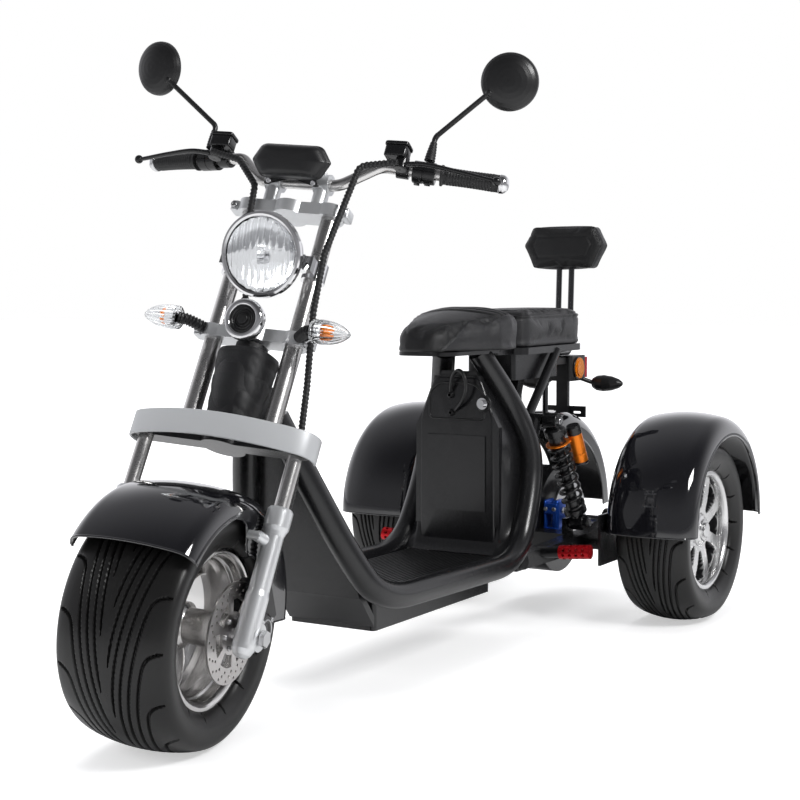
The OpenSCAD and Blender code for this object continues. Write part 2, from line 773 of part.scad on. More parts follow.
module deck() {
  color([0.08, 0.08, 0.085])
    on_frame() {
      translate([418, -deck_half, deck_z - 14]) cube([box_end - 418, 2 * deck_half, 12]);
      for (i = [-rib_count : rib_count])
        translate([box_x - 10, i * 10 - 2.5, deck_z - 3]) cube([box_len, 5, 5]);
      // lugs that hold the swing arm's pivot, with the pivot bolt
      for (k = [-1, 1])
        translate([pivot_x - 22, k * 88 - 4, pivot_z - 22]) cube([86, 8, deck_z - 13 - pivot_z + 22]);
      rod([pivot_x, -138, pivot_z], [pivot_x, 138, pivot_z], 20);
      for (k = [-1, 1])
        rod([pivot_x, k * 132, pivot_z], [pivot_x, k * 142, pivot_z], 32);
    }
}

module battery_box() {
  color([0.06, 0.06, 0.065])
    on_frame() {
      round_box([box_x, -box_y, box_z], [box_end, box_y, deck_z - 14], 10);
    }
}

// Front face outline of the battery case: across and up
case_pts = [[-108, 256], [108, 256], [106, 480], [64, 560], [58, 593], [-58, 593], [-64, 560], [-106, 480]];

recess_pts = [[-50, 498], [24, 498], [24, 560], [14, 576], [-40, 576], [-50, 560]];

case_t = 16;
case_face = 448;

module battery_case() {
  color([0.05, 0.05, 0.055])
    on_frame() {
      translate([case_face - case_t, 0, 0]) difference() {
        rotate([90, 0, 90]) linear_extrude(case_t) polygon(case_pts);
        // recess of the charging socket
        translate([case_t - 6, 0, 0]) rotate([90, 0, 90]) linear_extrude(10) polygon(recess_pts);
      }
      translate([372, -78, deck_z - 2]) cube([62, 156, 264]);
      translate([case_face - eps, -74, 290]) cube([6, 148, 170]);
    }
}

module key_lock() {
  color([0.8, 0.8, 0.82])
    on_frame() translate([case_face, 70, 533]) rotate([0, 90, 0]) {
      cylinder(h = 12, r = 13);
      cylinder(h = 20, r = 9);
    }
}

seat_box_z = 576;
cross_y = 128;

module seat_box() {
  color([0.06, 0.06, 0.065])
    on_frame() {
      // pans
      translate([0, 0, pan_z - 16]) linear_extrude(16) pillion_plan();
      round_box([345, -72, pan_z - 9], [608, 72, pan_z - 0.5], 40);
      round_box([pillion_x - 14, -60, pan_z - 15], [372, 60, pan_z - 1], 10);
      // box below the rear seat
      round_box([52, -62, seat_box_z], [pillion_x - 10, 62, pan_z - 6], 12);
      // cross tube that carries the shocks, and struts to the frame
      rod([shock_top[0], -cross_y, shock_top[2]], [shock_top[0], cross_y, shock_top[2]], 32);
      rod([shock_top[0], -172, shock_top[2]], [shock_top[0], 172, shock_top[2]], pin_d);
      difference() {
        for (k = [-1, 1])
          rod([344, k * 128, 432], [268, k * 110, 484], 30);
        for (k = [-1, 1]) frame_side(k, fit_gap);
      }
      for (k = [-1, 1]) {
        translate([0, k * 44 + 10, 0]) rotate([90, 0, 0]) linear_extrude(20)
          polygon([[shock_top[0] - 13, 481], [shock_top[0] + 13, 487], [244, 590], [214, 590]]);
        rod([268, k * 84, 484], [96, k * 78, pan_z - 12], 22);
      }
    }
}

// Front seat: its outline from above, cut by its outline from the side
module front_seat() {
  color([0.06, 0.06, 0.065])
    on_frame() intersection() {
      translate([0, 0, pan_z]) linear_extrude(seat_h + 10) polygon([
        [seat_nose_x, -24], [seat_nose_x, 24], [seat_nose_x - 10, 44], [seat_nose_x - 34, 62],
        [560, 82], [510, 106], [455, seat_y], [405, seat_y], [360, 114], [332, 90], [322, 60],
        [322, -60], [332, -90], [360, -114], [405, -seat_y], [455, -seat_y], [510, -106], [560, -82],
        [seat_nose_x - 34, -62], [seat_nose_x - 10, -44]]);
      translate([0, 200, 0]) rotate([90, 0, 0]) linear_extrude(400) polygon([
        [300, pan_z], [608, pan_z], [seat_nose_x, pan_z + 16], [seat_nose_x + 1, pan_z + 52],
        [seat_nose_x - 14, pan_z + 64], [560, pan_z + seat_h - 22], [480, pan_z + seat_h - 12],
        [400, pan_z + seat_h], [345, pan_z + seat_h], [322, pan_z + seat_h - 14],
        [300, pan_z + seat_h - 20]]);
    }
}

// Rear seat outline from above, narrower at the back
module pillion_plan() {
  xf = pillion_x;
  xr = pillion_x - pillion_len;
  w = pillion_y;
  v = pillion_y - 20;
  polygon([[xf, -w + 24], [xf, w - 24], [xf - 8, w - 8], [xf - 26, w], [xr + 44, v], [xr + 16, v - 10],
    [xr, v - 36], [xr, -v + 36], [xr + 16, -v + 10], [xr + 44, -v], [xf - 26, -w], [xf - 8, -w + 8]]);
}

module rear_seat() {
  color([0.06, 0.06, 0.065])
    on_frame() translate([0, 0, pan_z]) linear_extrude(pillion_h) pillion_plan();
}

post_x = pillion_x - pillion_len - 22;
post_low = [post_x + 6, pan_z - 24.2];
post_top = [post_x - 6, pad_z + 30];
post_lean = atan2(post_low[0] - post_top[0], post_top[1] - post_low[1]);
post_d = 15;

module backrest_posts() {
  color([0.06, 0.06, 0.065])
    on_frame() for (k = [-1, 1])
      bent_tube([[-40.4, k * 17, post_low[1]], [post_low[0], k * 17, post_low[1]],
        [post_top[0], k * 17, post_top[1]]], post_d, 18);
}

module backrest_pad() {
  color([0.06, 0.06, 0.065])
    on_frame() translate([post_top[0], 0, post_top[1]]) rotate([0, -post_lean, 0]) difference() {
      translate([-24, 0, -30]) rotate([90, 0, 90]) linear_extrude(56) polygon([
        [-pad_w / 2 + 30, 0], [pad_w / 2 - 30, 0], [pad_w / 2, pad_h * 0.55], [pad_w / 2 - 26, pad_h],
        [-pad_w / 2 + 26, pad_h], [-pad_w / 2, pad_h * 0.55]]);
      for (k = [-1, 1])
        translate([0, k * 17, -60]) cylinder(h = 60.5, d = post_d + fit_gap);
    }
}

plate_x = -112;
plate_y = 37;
plate_z = rear_z + guard_r - 11;

module tail_bracket() {
  color([0.05, 0.05, 0.055])
    on_frame() {
      // lamp shell on a plate under the rear of the seat pan
      round_box([-146, -46, 556], [-56, 46, 619.5], 10);
      translate([-80, -34, 600]) cube([131.7, 68, 16]);
      // arm down to the number plate holder
      translate([plate_x, -16, plate_z - 6]) cube([12, 32, 566 - plate_z]);
      difference() {
        translate([plate_x - 4, -60, plate_z - 12]) cube([5, 120, 28]);
        for (k = [-1, 1]) {
          translate([plate_x - 10, k * plate_y - 8, plate_z - 3]) cube([20, 16, 6]);
          for (j = [-8, 8])
            translate([plate_x - 10, k * plate_y + j, plate_z]) rotate([0, 90, 0]) cylinder(h = 20, r = 3);
        }
      }
      // rear signals
      for (k = [-1, 1]) {
        rod([-130, k * 36, 561], [-150, k * 66, 548], 11);
        translate([-150, k * 62, 548]) rotate([k * -90, 0, 0]) rotate_extrude()
          polygon([[0, 0], [13, 3], [19, 14], [21, 32], [18, 54], [12, 72], [5, 82], [0, 84]]);
      }
    }
}

module tail_lens() {
  color([0.6, 0.05, 0.05])
    on_frame() round_box([-168, -42, 562], [-146.2, 42, 614], 8);
}

module reflectors() {
  color([0.95, 0.5, 0.08])
    on_frame() for (k = [-1, 1])
      translate([-96, k * 46.2, 588]) rotate([k * -90, 0, 0]) {
        cylinder(h = 6, r = 26);
        cylinder(h = 9, r = 20);
      }
}

// Swing arm: one side in plan, from the pivot to the axle block
arm_in = 170;
arm_out = 208;
arm_h = 36;
arm_tilt = atan2(rear_z - pivot_z, pivot_x);
arm_plan = [[pivot_x + 18, 96], [pivot_x + 18, 128], [290, 168], [120, arm_out], [-36, arm_out],
  [-36, arm_in], [108, arm_in], [276, 132], [pivot_x - 20, 98]];

module swing_arm() {
  guard_in = half_track - guard_y;
  color([0.06, 0.06, 0.065])
    on_frame() difference() {
      union() {
        translate([pivot_x, 0, pivot_z]) rotate([0, arm_tilt, 0]) translate([-pivot_x, 0, -arm_h / 2])
          linear_extrude(arm_h) {
            for (k = [-1, 1])
              polygon([for (p = arm_plan) [p[0], k * p[1]]]);
            translate([pivot_x - 20, -100]) square([38, 200]);
            translate([160, -166]) square([34, 332]);
          }
        for (k = [-1, 1]) {
          // bearing block on the axle
          translate([0, k * (arm_in + arm_out) / 2 + 22, rear_z]) rotate([90, 0, 0])
            cylinder(h = 44, r = 34);
          // bracket out to the mudguard
          translate([120, k > 0 ? arm_out - 20 : -guard_in, rear_z - 33])
            cube([86, guard_in - arm_out + 20, 8]);
          translate([128, k > 0 ? guard_in - 6.3 : -guard_in + 0.3, rear_z - 67]) cube([100, 6, 118]);
          // ear and pin for the shock's lower eye
          translate([156, k > 0 ? 140 : -152, rear_z - 27]) cube([36, 12, 58]);
          rod([shock_low[0], k * 146, shock_low[2]], [shock_low[0], k * 200, shock_low[2]], pin_d);
          // boss that carries the foot peg
          rod([322, k * 140, 186], [322, k * peg_in, 186 + (peg_in - 140) * 0.09], 26);
        }
        // saddle that holds the motor
        translate([motor_r + 0.4, -56, rear_z - 33]) cube([170 - motor_r, 90, 22]);
      }
      translate([0, 300, rear_z]) rotate([90, 0, 0]) cylinder(h = 600, r = axle_r + 5 + bore_gap);
      translate([pivot_x, 200, pivot_z]) rotate([90, 0, 0]) cylinder(h = 400, d = 20 + fit_gap);
      for (k = [-1, 1])
        translate([pivot_x, k > 0 ? 170 : -131.4, pivot_z]) rotate([90, 0, 0]) cylinder(h = 38.6, d = 36);
      translate([pivot_x - 30, -93, 100]) cube([60, 10, 200]);
      translate([pivot_x - 30, 83, 100]) cube([60, 10, 200]);
    }
}

module motor() {
  color([0.07, 0.07, 0.075])
    on_frame() translate([0, 46, rear_z]) rotate([90, 0, 0]) {
      cylinder(h = 146, r = motor_r);
      translate([0, 0, -4]) cylinder(h = 4, r = 60);
    }
}

shock_top = [268, 150, 484];
shock_low = [174, 174, rear_z + 23];
pin_d = 15;

module shocks() {
  color([0.06, 0.06, 0.065])
    on_frame() for (k = [-1, 1]) {
      a = flip(shock_low, k);
      b = flip(shock_top, k);
      v = unit(b - a);
      difference() {
        union() {
          rod(a, b, 26);
          rod(lerp(a, b, 0.12), lerp(a, b, 0.95), spring_d - 2 * spring_wire + 1);
          for (p = [a, b])
            translate(p + [0, 17, 0]) rotate([90, 0, 0]) cylinder(h = 34, r = 19);
        }
        for (p = [a, b])
          translate(p + [0, 30, 0]) rotate([90, 0, 0]) cylinder(h = 60, d = pin_d + 2);
      }
      for (i = [0 : spring_coils - 1])
        translate(lerp(a, b, 0.17 + 0.55 * i / (spring_coils - 1))) toward(v)
          rotate_extrude() translate([spring_d / 2 - spring_wire / 2, 0]) circle(d = spring_wire);
      rod(lerp(a, b, 0.1), lerp(a, b, 0.15), spring_d);
      rod(lerp(a, b, 0.86), lerp(a, b, 0.93), spring_d - 4);
    }
}

module shock_reservoirs() {
  color([0.9, 0.35, 0.05])
    on_frame() for (k = [-1, 1]) {
      a = flip(shock_low, k);
      b = flip(shock_top, k);
      // side tank, behind and outboard of the damper
      o = [-42, k * 29, -2];
      rod(lerp(a, b, 0.6) + o, lerp(a, b, 0.94) + o, 33);
      // adjuster ring over the spring
      difference() {
        rod(lerp(a, b, 0.755), lerp(a, b, 0.81), spring_d + 2);
        rod(a, b, spring_d - 2 * spring_wire + 1 + 2 * fit_gap);
      }
      rod(lerp(a, b, 0.805) + o, lerp(a, b, 0.805) + o * 0.55, 10);
    }
}

rear_disc_y = 68;

module rear_caliper() {
  color([0.1, 0.25, 0.7])
    on_frame() difference() {
      union() {
        translate([62, rear_disc_y - 17, rear_z - 42]) cube([52, 42, 104]);
        translate([100, rear_disc_y - 10, rear_z - 34]) cube([59.4, 24, 17]);
      }
      translate([0, rear_disc_y + disc_t / 2 + 5.5, rear_z]) rotate([90, 0, 0])
        cylinder(h = disc_t + 11, r = rear_disc_r + 6);
      translate([0, 200, rear_z]) rotate([90, 0, 0]) cylinder(h = 400, r = 48);
    }
}

peg_in = 198;
peg_out = 272;

module pegs() {
  color([0.75, 0.08, 0.08])
    on_frame() for (k = [-1, 1]) {
      a = [322, k * (peg_in + 0.3), 186 + (peg_in - 140) * 0.09];
      b = [322, k * peg_out, 186 + (peg_out - 140) * 0.09];
      difference() {
        rod(a, b, 32);
        // rows of round holes in the sleeve
        for (i = [0 : 3])
          for (j = [0 : 3])
            translate(lerp(a, b, 0.17 + 0.22 * i)) rotate([0, 22 + 45 * j, 0])
              translate([0, 0, -30]) cylinder(h = 60, r = 4);
        rod(lerp(a, b, -0.1), lerp(a, b, 0.95), 22);
      }
    }
}

// A rear mudguard, set a little behind and above its wheel
module rear_guard(side) {
  on_rear(side) translate([-guard_back, 0, 8]) mudguard(guard_r, guard_y, 44, 0.5, 179);
}

module guard_left() {
  color([0.03, 0.03, 0.035]) rear_guard(1);
}

module guard_right() {
  color([0.03, 0.03, 0.035]) rear_guard(-1);
}

module guard_middle() {
  color([0.03, 0.03, 0.035])
    on_frame() {
      translate([0, 0, rear_z]) mudguard(guard_r, mid_guard_y, 60, 62, 176);
      for (k = [-1, 1])
        rod([70, k * 36, rear_z + guard_r - 14], [70, k * 36, seat_box_z - 0.3], 14);
    }
}

module battery_lead() {
  color([0.04, 0.04, 0.045])
    on_frame()
      bent_tube([[case_face + 0.3, 40, 566], [472, 40, 566], [486, 70, 530], [474, 84, 478],
        [case_face + 0.3, 84, 478]], 9, 10);
}

// The rear wheels

module tyre_left() {
  color([0.07, 0.07, 0.08]) on_rear(1) tyre(rear_tyre_w, rear_rim_w);
}

module tyre_right() {
  color([0.07, 0.07, 0.08]) on_rear(-1) tyre(rear_tyre_w, rear_rim_w);
}

// Pocket between two spokes: across and out from the axle
function pocket(a, b, wa, wb) =
  let (half = [[wa - 4, a], [wa, a + 5], [wb, b - 9], [wb - 3, b - 3], [wb - 9, b]])
    concat(half, [for (i = [4 : -1 : 0]) [-half[i][0], half[i][1]]]);

module rear_rim() {
  pitch = 360 / rear_spokes;
  far = bead_r - rim_wall - 6;
  barrel(rear_rim_w);
  translate([0, 52, 0]) rotate([90, 0, 0]) cylinder(h = 112, r = hub_r);
  translate([0, 58, 0]) rotate([90, 0, 0]) cylinder(h = 8, r = 26);
  difference() {
    translate([0, 44, 0]) rotate([90, 0, 0]) cylinder(h = 18, r = bead_r - 4);
    for (i = [0 : rear_spokes - 1])
      rotate([0, i * pitch, 0]) translate([0, 60, 0]) rotate([90, 0, 0]) linear_extrude(60)
        polygon(pocket(hub_r + 10, far, 9, far * tan(pitch / 2) - 15));
  }
}

module rim_left() {
  color([0.7, 0.7, 0.72]) on_rear(1) rear_rim();
}

module rim_right() {
  color([0.7, 0.7, 0.72]) on_rear(-1) rear_rim();
}

// A half shaft from the hub in to the motor
module half_shaft(y_in) {
  translate([0, -60, 0]) rotate([90, 0, 0]) cylinder(h = half_track - 60 - y_in, r = axle_r + 5);
}

module axle_left() {
  color([0.6, 0.6, 0.62]) {
    on_rear(1) half_shaft(58);
    on_frame() translate([0, rear_disc_y + disc_t / 2, rear_z]) rotate([90, 0, 0]) difference() {
      cylinder(h = disc_t, r = rear_disc_r);
      for (i = [0 : 5])
        rotate([0, 0, i * 60]) rotate_extrude(angle = 40)
          translate([rear_disc_r * 0.4, -5]) square([26, 20]);
    }
  }
}

module axle_right() {
  color([0.6, 0.6, 0.62]) on_rear(-1) half_shaft(108);
}

frame_left();
frame_right();
neck();
front_shield();
deck();
battery_box();
battery_case();
key_lock();
seat_box();
front_seat();
rear_seat();
backrest_posts();
backrest_pad();
tail_bracket();
tail_lens();
reflectors();
swing_arm();
motor();
shocks();
shock_reservoirs();
rear_caliper();
pegs();
guard_left();
guard_right();
guard_middle();
battery_lead();
fork_yokes();
mid_yoke();
top_yoke();
bumper_band();
fork_tubes();
fork_legs();
front_axle();
front_fender();
headlight();
headlight_lens();
horn();
signal_stalks();
signal_lenses();
dash();
handlebar();
grips();
controls();
mirrors();
mirror_glass();
front_caliper();
brake_hoses();
front_tyre();
front_rim();
front_disc();
tyre_left();
rim_left();
axle_left();
tyre_right();
rim_right();
axle_right();
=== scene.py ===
"""Looks of an electric tricycle: a finish for every solid, and the pieces that plain solids cannot show."""
import json
import math

import bmesh
import bpy
import numpy as np
from mathutils import Matrix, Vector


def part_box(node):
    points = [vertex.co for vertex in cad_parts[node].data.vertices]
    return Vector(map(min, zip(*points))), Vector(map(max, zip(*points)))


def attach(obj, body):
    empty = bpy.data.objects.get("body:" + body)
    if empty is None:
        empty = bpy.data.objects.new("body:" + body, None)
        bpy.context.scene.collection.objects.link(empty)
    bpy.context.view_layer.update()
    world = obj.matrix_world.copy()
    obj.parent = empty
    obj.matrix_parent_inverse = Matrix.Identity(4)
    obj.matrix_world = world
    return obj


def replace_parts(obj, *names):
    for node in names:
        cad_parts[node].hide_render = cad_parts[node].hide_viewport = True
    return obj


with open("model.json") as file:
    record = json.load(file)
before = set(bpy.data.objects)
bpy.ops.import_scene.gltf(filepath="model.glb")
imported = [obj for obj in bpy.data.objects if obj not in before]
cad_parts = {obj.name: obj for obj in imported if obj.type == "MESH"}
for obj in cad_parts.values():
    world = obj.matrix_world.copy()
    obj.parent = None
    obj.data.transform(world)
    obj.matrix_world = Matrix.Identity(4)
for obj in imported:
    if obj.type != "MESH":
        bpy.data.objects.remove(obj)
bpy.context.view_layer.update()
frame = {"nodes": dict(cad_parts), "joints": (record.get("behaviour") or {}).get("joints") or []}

NODES = frame["nodes"]
JOINTS = {j["name"]: j for j in frame["joints"]}
scene = bpy.context.scene
MM = 0.001


# Places

class Place:
    """A local frame. Points in millimetres (rows of x, y, z) become metres in the part's frame."""

    def __init__(self, origin, axes):
        self.origin = np.asarray(origin, float)
        self.axes = np.asarray(axes, float)

    def __call__(self, points):
        return self.origin + MM * (np.asarray(points, float) @ self.axes)

    def at(self, origin, axes=((1, 0, 0), (0, 1, 0), (0, 0, 1))):
        """A place inside this one: its origin in millimetres and its axes, both in this place's terms."""
        return Place(self(origin), np.asarray(axes, float) @ self.axes)

    def aimed(self, origin, direction, side=(0, 1, 0)):
        """A place whose z points along direction and whose y lies near side."""
        return self.at(origin, axes_along(direction, side))


def unit(v):
    """Vectors divided by their own lengths."""
    v = np.asarray(v, float)
    return v / np.linalg.norm(v, axis=-1, keepdims=True)


def axes_along(direction, side):
    """Axes whose z points along a direction and whose x lies across both z and the side."""
    z = unit(direction)
    x = unit(np.cross(side, z))
    return x, np.cross(z, x), z


def flipped(points, k):
    """Points of the left side as they are for k = 1, and on the right side for k = -1."""
    return np.asarray(points, float) * (1, k, 1)

AXLE = np.asarray(JOINTS["steer"]["pos_m"])
UP = unit(JOINTS["steer"]["axis"])
LEFT = unit(JOINTS["front_spin"]["axis"])
FORK = Place(AXLE, (np.cross(LEFT, UP), LEFT, UP))
REAR_X = JOINTS["rear_left_spin"]["pos_m"][0]
CHASSIS = Place((REAR_X, 0, 0), np.eye(3))
REAR_LEFT = Place(JOINTS["rear_left_spin"]["pos_m"], np.eye(3))
REAR_RIGHT = Place(JOINTS["rear_right_spin"]["pos_m"], np.diag((1, -1, 1)))
RAKE = math.atan2(-UP[0], UP[2])

# Sizes shared with the solids, in millimetres
TYRE_R = 217
LIP_R = 140
BEAD_R = 129
FRONT_TYRE_W, REAR_TYRE_W = 218, 180
FRONT_RIM_W, REAR_RIM_W = 166, 136
TUBE_Y = 82
LOW_YOKE, MID_YOKE, TOP_YOKE = 322, 528, 790
YOKE_THICK = 24
LAMP_S = 679
PAN_Z = 652
DISC_Y = FRONT_TYRE_W / 2 + 8
SIDES = ((1, "left"), (-1, "right"))


# Curves and surfaces

def smooth(points, count, closed=False):
    """A curve through hand-set points: on each stretch the cubic whose end slopes are half the chord between
    the two neighbours, sampled at even steps of the point number."""
    p = np.asarray(points, float)
    n = len(p)
    t = np.linspace(0, n if closed else n - 1, count, endpoint=not closed)
    i = np.minimum(t.astype(int), n - 1 if closed else n - 2)
    f = (t - i)[:, None]
    pick = (lambda k: p[k % n]) if closed else (lambda k: p[np.clip(k, 0, n - 1)])
    a, b, c, d = pick(i - 1), pick(i), pick(i + 1), pick(i + 2)
    return b + 0.5 * f * (c - a + f * (2 * a - 5 * b + 4 * c - d + f * (3 * (b - c) + d - a)))


def even(curve, count):
    """The same curve with its points at equal steps of length."""
    run = np.concatenate([[0], np.cumsum(np.linalg.norm(np.diff(curve, axis=0), axis=1))])
    s = np.linspace(0, run[-1], count)
    return np.stack([np.interp(s, run, curve[:, k]) for k in range(curve.shape[1])], 1)


def steps_smooth(x):
    """An S-shaped rise from 0 to 1 over x from 0 to 1."""
    x = np.clip(x, 0, 1)
    return x * x * (3 - 2 * x)


def line(gap, wide):
    """A soft ridge: 1 on a line and falling off as a bell over its width."""
    return np.exp(-(gap / wide) ** 2)


def arcs(a, corner, b, steps):
    """Quadratic curves from a to b, one after the other: the squares of the two shares weigh the ends, and twice
    their product weighs the corner."""
    t = np.linspace(0, 1, steps)[None, :, None]
    rows = (1 - t) ** 2 * a[:, None] + 2 * t * (1 - t) * corner[:, None] + t ** 2 * b[:, None]
    return rows.reshape(-1, corner.shape[1])


def rounded(corners, radius, steps=5):
    """A closed outline whose corners are replaced by quadratic curves between two points set back along the
    sides."""
    p = np.asarray(corners, float)
    back, ahead = np.roll(p, 1, 0) - p, np.roll(p, -1, 0) - p
    r = np.broadcast_to(np.asarray(radius, float), len(p))[:, None]
    a = p + unit(back) * np.minimum(r, np.linalg.norm(back, axis=1, keepdims=True) * 0.49)
    b = p + unit(ahead) * np.minimum(r, np.linalg.norm(ahead, axis=1, keepdims=True) * 0.49)
    return arcs(a, p, b, steps)


def eased(points, before, after, steps=16):
    """A path of straight runs whose corners are quadratic curves, each with its own reach before and after."""
    p = np.asarray(points, float)
    u, w = unit(p[1:-1] - p[:-2]), unit(p[2:] - p[1:-1])
    a = p[1:-1] - u * np.asarray(before, float)[:, None]
    b = p[1:-1] + w * np.asarray(after, float)[:, None]
    return np.concatenate([p[:1], arcs(a, p[1:-1], b, steps), p[-1:]])


def bent(points, radius):
    """A path of straight runs joined by round bends: each corner is set back by the bend's radius times the tangent
    of half the turn."""
    p = np.asarray(points, float)
    u, w = unit(p[1:-1] - p[:-2]), unit(p[2:] - p[1:-1])
    back = radius * np.tan(np.arccos(np.clip(np.sum(u * w, 1), -1, 1)) / 2)
    return eased(p, back, back, 14)


def skin(points, wrap_u=False, wrap_v=False):
    """Quads over a (u, v) grid of points; a wrapped side joins its last row to its first."""
    nu, nv = points.shape[:2]
    i = np.arange(nu if wrap_u else nu - 1)[:, None]
    j = np.arange(nv if wrap_v else nv - 1)[None, :]
    k, m = (i + 1) % nu, (j + 1) % nv
    quads = np.stack([i * nv + j, k * nv + j, k * nv + m, i * nv + m], -1)
    return points.reshape(-1, 3), quads.reshape(-1, 4)


def lathe(profile, turns=96, closed=True, along="z"):
    """Points (radius, along) turned about an axis: at each angle the radius gives both coordinates across."""
    p = np.asarray(profile, float)
    a = np.linspace(0, 2 * np.pi, turns, endpoint=False)[:, None]
    across, over = p[None, :, 0] * np.cos(a), p[None, :, 0] * np.sin(a)
    height = np.broadcast_to(p[None, :, 1], across.shape)
    order = (across, over, height) if along == "z" else (over, height, across)
    return skin(np.stack(order, -1), wrap_u=True, wrap_v=closed)


def around(radius, across, angle):
    """Points at a radius and angle about the axle, angle 0 ahead and 90 degrees up."""
    radius, across, angle = np.broadcast_arrays(radius, across, angle)
    return np.stack([radius * np.cos(angle), across, radius * np.sin(angle)], -1)


def capped(rows, first, last):
    """Rows of a closed section as one skin whose two ends close on a point each."""
    ends = [np.broadcast_to(q, (1,) + rows.shape[1:]) for q in (first, last)]
    return skin(np.concatenate([ends[0], rows, ends[1]]), wrap_v=True)


def swept(path, e, f, radius, sides):
    """A round section carried along a path: at each angle the two directions across the path, weighed by the
    angle's cosine and sine, times the radius."""
    a = np.linspace(0, 2 * np.pi, sides, endpoint=False)[None, :, None]
    return capped(path[:, None] + radius * (np.cos(a) * e[:, None] + np.sin(a) * f[:, None]), path[0], path[-1])


def carried(path):
    """Directions across a path that turn as little as they can: the first is any direction across the start, and
    each next one is the last with its part along the path taken away."""
    t = unit(np.gradient(path, axis=0))
    e = [unit(np.cross(t[0], np.eye(3)[np.argmin(np.abs(t[0]))]))]
    for step in t[1:]:
        e.append(unit(e[-1] - step * (e[-1] @ step)))
    e = np.array(e)
    return e, np.cross(t, e)


def tube(path, radius, sides=12):
    """A round tube along a path. The section's two directions come from the path's own tangent and from the
    direction that varies least along it."""
    p = np.asarray(path, float)
    t = unit(np.gradient(p, axis=0))
    flat = np.linalg.svd(t - t.mean(0))[2][-1]
    spare = np.eye(3)[np.argmin(np.abs(t).max(0))]
    e = unit(np.cross(t, flat if np.abs(t @ flat).max() < 0.9 else spare))
    r = np.broadcast_to(np.asarray(radius, float), len(p))[:, None, None]
    return swept(p, e, np.cross(t, e), r, sides)


def sleeve(points, radius, pitch=8.0, swell=0.8, sides=14, bend=21):
    """A hose in a spiral wrap: its radius swells with the sine of the way along plus the angle about it."""
    path = bent(points, bend)
    length = np.sum(np.linalg.norm(np.diff(path, axis=0), axis=1))
    path = even(path, int(length / pitch * 6))
    run = np.linspace(0, length, len(path))[:, None]
    turn = np.linspace(0, 2 * np.pi, sides, endpoint=False)[None]
    r = (radius + swell * np.sin(2 * np.pi * run / pitch + turn))[..., None]
    return swept(path, *carried(path), r, sides)


def slab(outline, low, high, bevel=2.0, steps=4):
    """A closed outline raised from low to high. Near both faces it is drawn in along its own normals by a quarter
    round of the bevel, and each face closes on the outline's middle."""
    o = np.asarray(outline, float)
    d = unit(np.roll(o, -1, 0) - np.roll(o, 1, 0))
    inward = np.stack([-d[:, 1], d[:, 0]], 1)
    area = np.sum(o[:, 0] * np.roll(o[:, 1], -1) - o[:, 1] * np.roll(o[:, 0], -1))
    inward *= np.sign(area)
    a = np.linspace(0, np.pi / 2, steps)
    draw = bevel * np.concatenate([1 - np.sin(a), 1 - np.cos(a)])
    rise = np.concatenate([low + bevel * (1 - np.cos(a)), high - bevel * (1 - np.sin(a))])
    rows = o[None] + draw[:, None, None] * inward[None]
    rows = np.concatenate([rows, np.broadcast_to(rise[:, None, None], rows.shape[:2] + (1,))], 2)
    return capped(rows, np.append(o.mean(0), low), np.append(o.mean(0), high))


def rounded_box(low, high, radius=4.0, bevel=2.0):
    """A box with round upright edges and soft rims."""
    (x0, y0, z0), (x1, y1, z1) = low, high
    return slab(rounded([(x0, y0), (x1, y0), (x1, y1), (x0, y1)], radius, 6), z0, z1, bevel)


def torus(ring, wire_r, at=0.0, turns=72):
    """A round wire bent into a ring about z."""
    a = np.linspace(0, 2 * np.pi, 16, endpoint=False)
    return lathe(np.stack([ring + wire_r * np.cos(a), at + wire_r * np.sin(a)], 1), turns)


def moved(part, offset):
    """A surface shifted by an offset."""
    return part[0] + np.asarray(offset, float), part[1]


def turned(part, axes, origin=(0, 0, 0)):
    """A surface set into other axes: rows are where its own x, y and z point."""
    points, quads = part
    return points @ np.asarray(axes, float) + np.asarray(origin, float), quads


def both(make):
    """The same surfaces made for the left and the right side."""
    return make(1) + make(-1)


def ring_of(part, count):
    """Copies of a surface at equal angles about y."""
    points, quads = part
    a = np.arange(count) * 2 * np.pi / count
    c, s, o, e = np.cos(a), np.sin(a), np.zeros(count), np.ones(count)
    copies = np.einsum("pj,jkn->npk", points, np.array([[c, o, -s], [o, e, o], [s, o, c]]))
    shift = np.arange(count)[:, None, None] * len(points)
    return copies.reshape(-1, 3), (quads[None] + shift).reshape(-1, 4)


def bolt_head(at, direction, r=6.0, h=5.0):
    """A six-sided head with a round crown, at a point and along a direction: a turned profile whose radius swells
    with the size of the cosine of three times the angle."""
    profile = [(0, -1), (r, -1), (r, h - 1.2), (r - 1.2, h), (r * 0.45, h), (r * 0.4, h - 1.5), (0, h - 1.5)]
    points, quads = lathe(profile, 24, closed=False)
    points = points.reshape(24, -1, 3).copy()
    corner = 1 + 0.07 * np.abs(np.cos(3 * np.linspace(0, 2 * np.pi, 24, endpoint=False)))
    points[..., :2] *= corner[:, None, None]
    side = np.eye(3)[np.argmin(np.abs(unit(direction)))]
    return turned((points.reshape(-1, 3), quads), axes_along(direction, side), at)


def set_mask(mesh, mask):
    """One value a point, kept as the attribute that finishes of two tones read."""
    mesh.attributes.new("mask", "FLOAT", "POINT").data.foreach_set("value", mask.astype(np.float32).ravel())


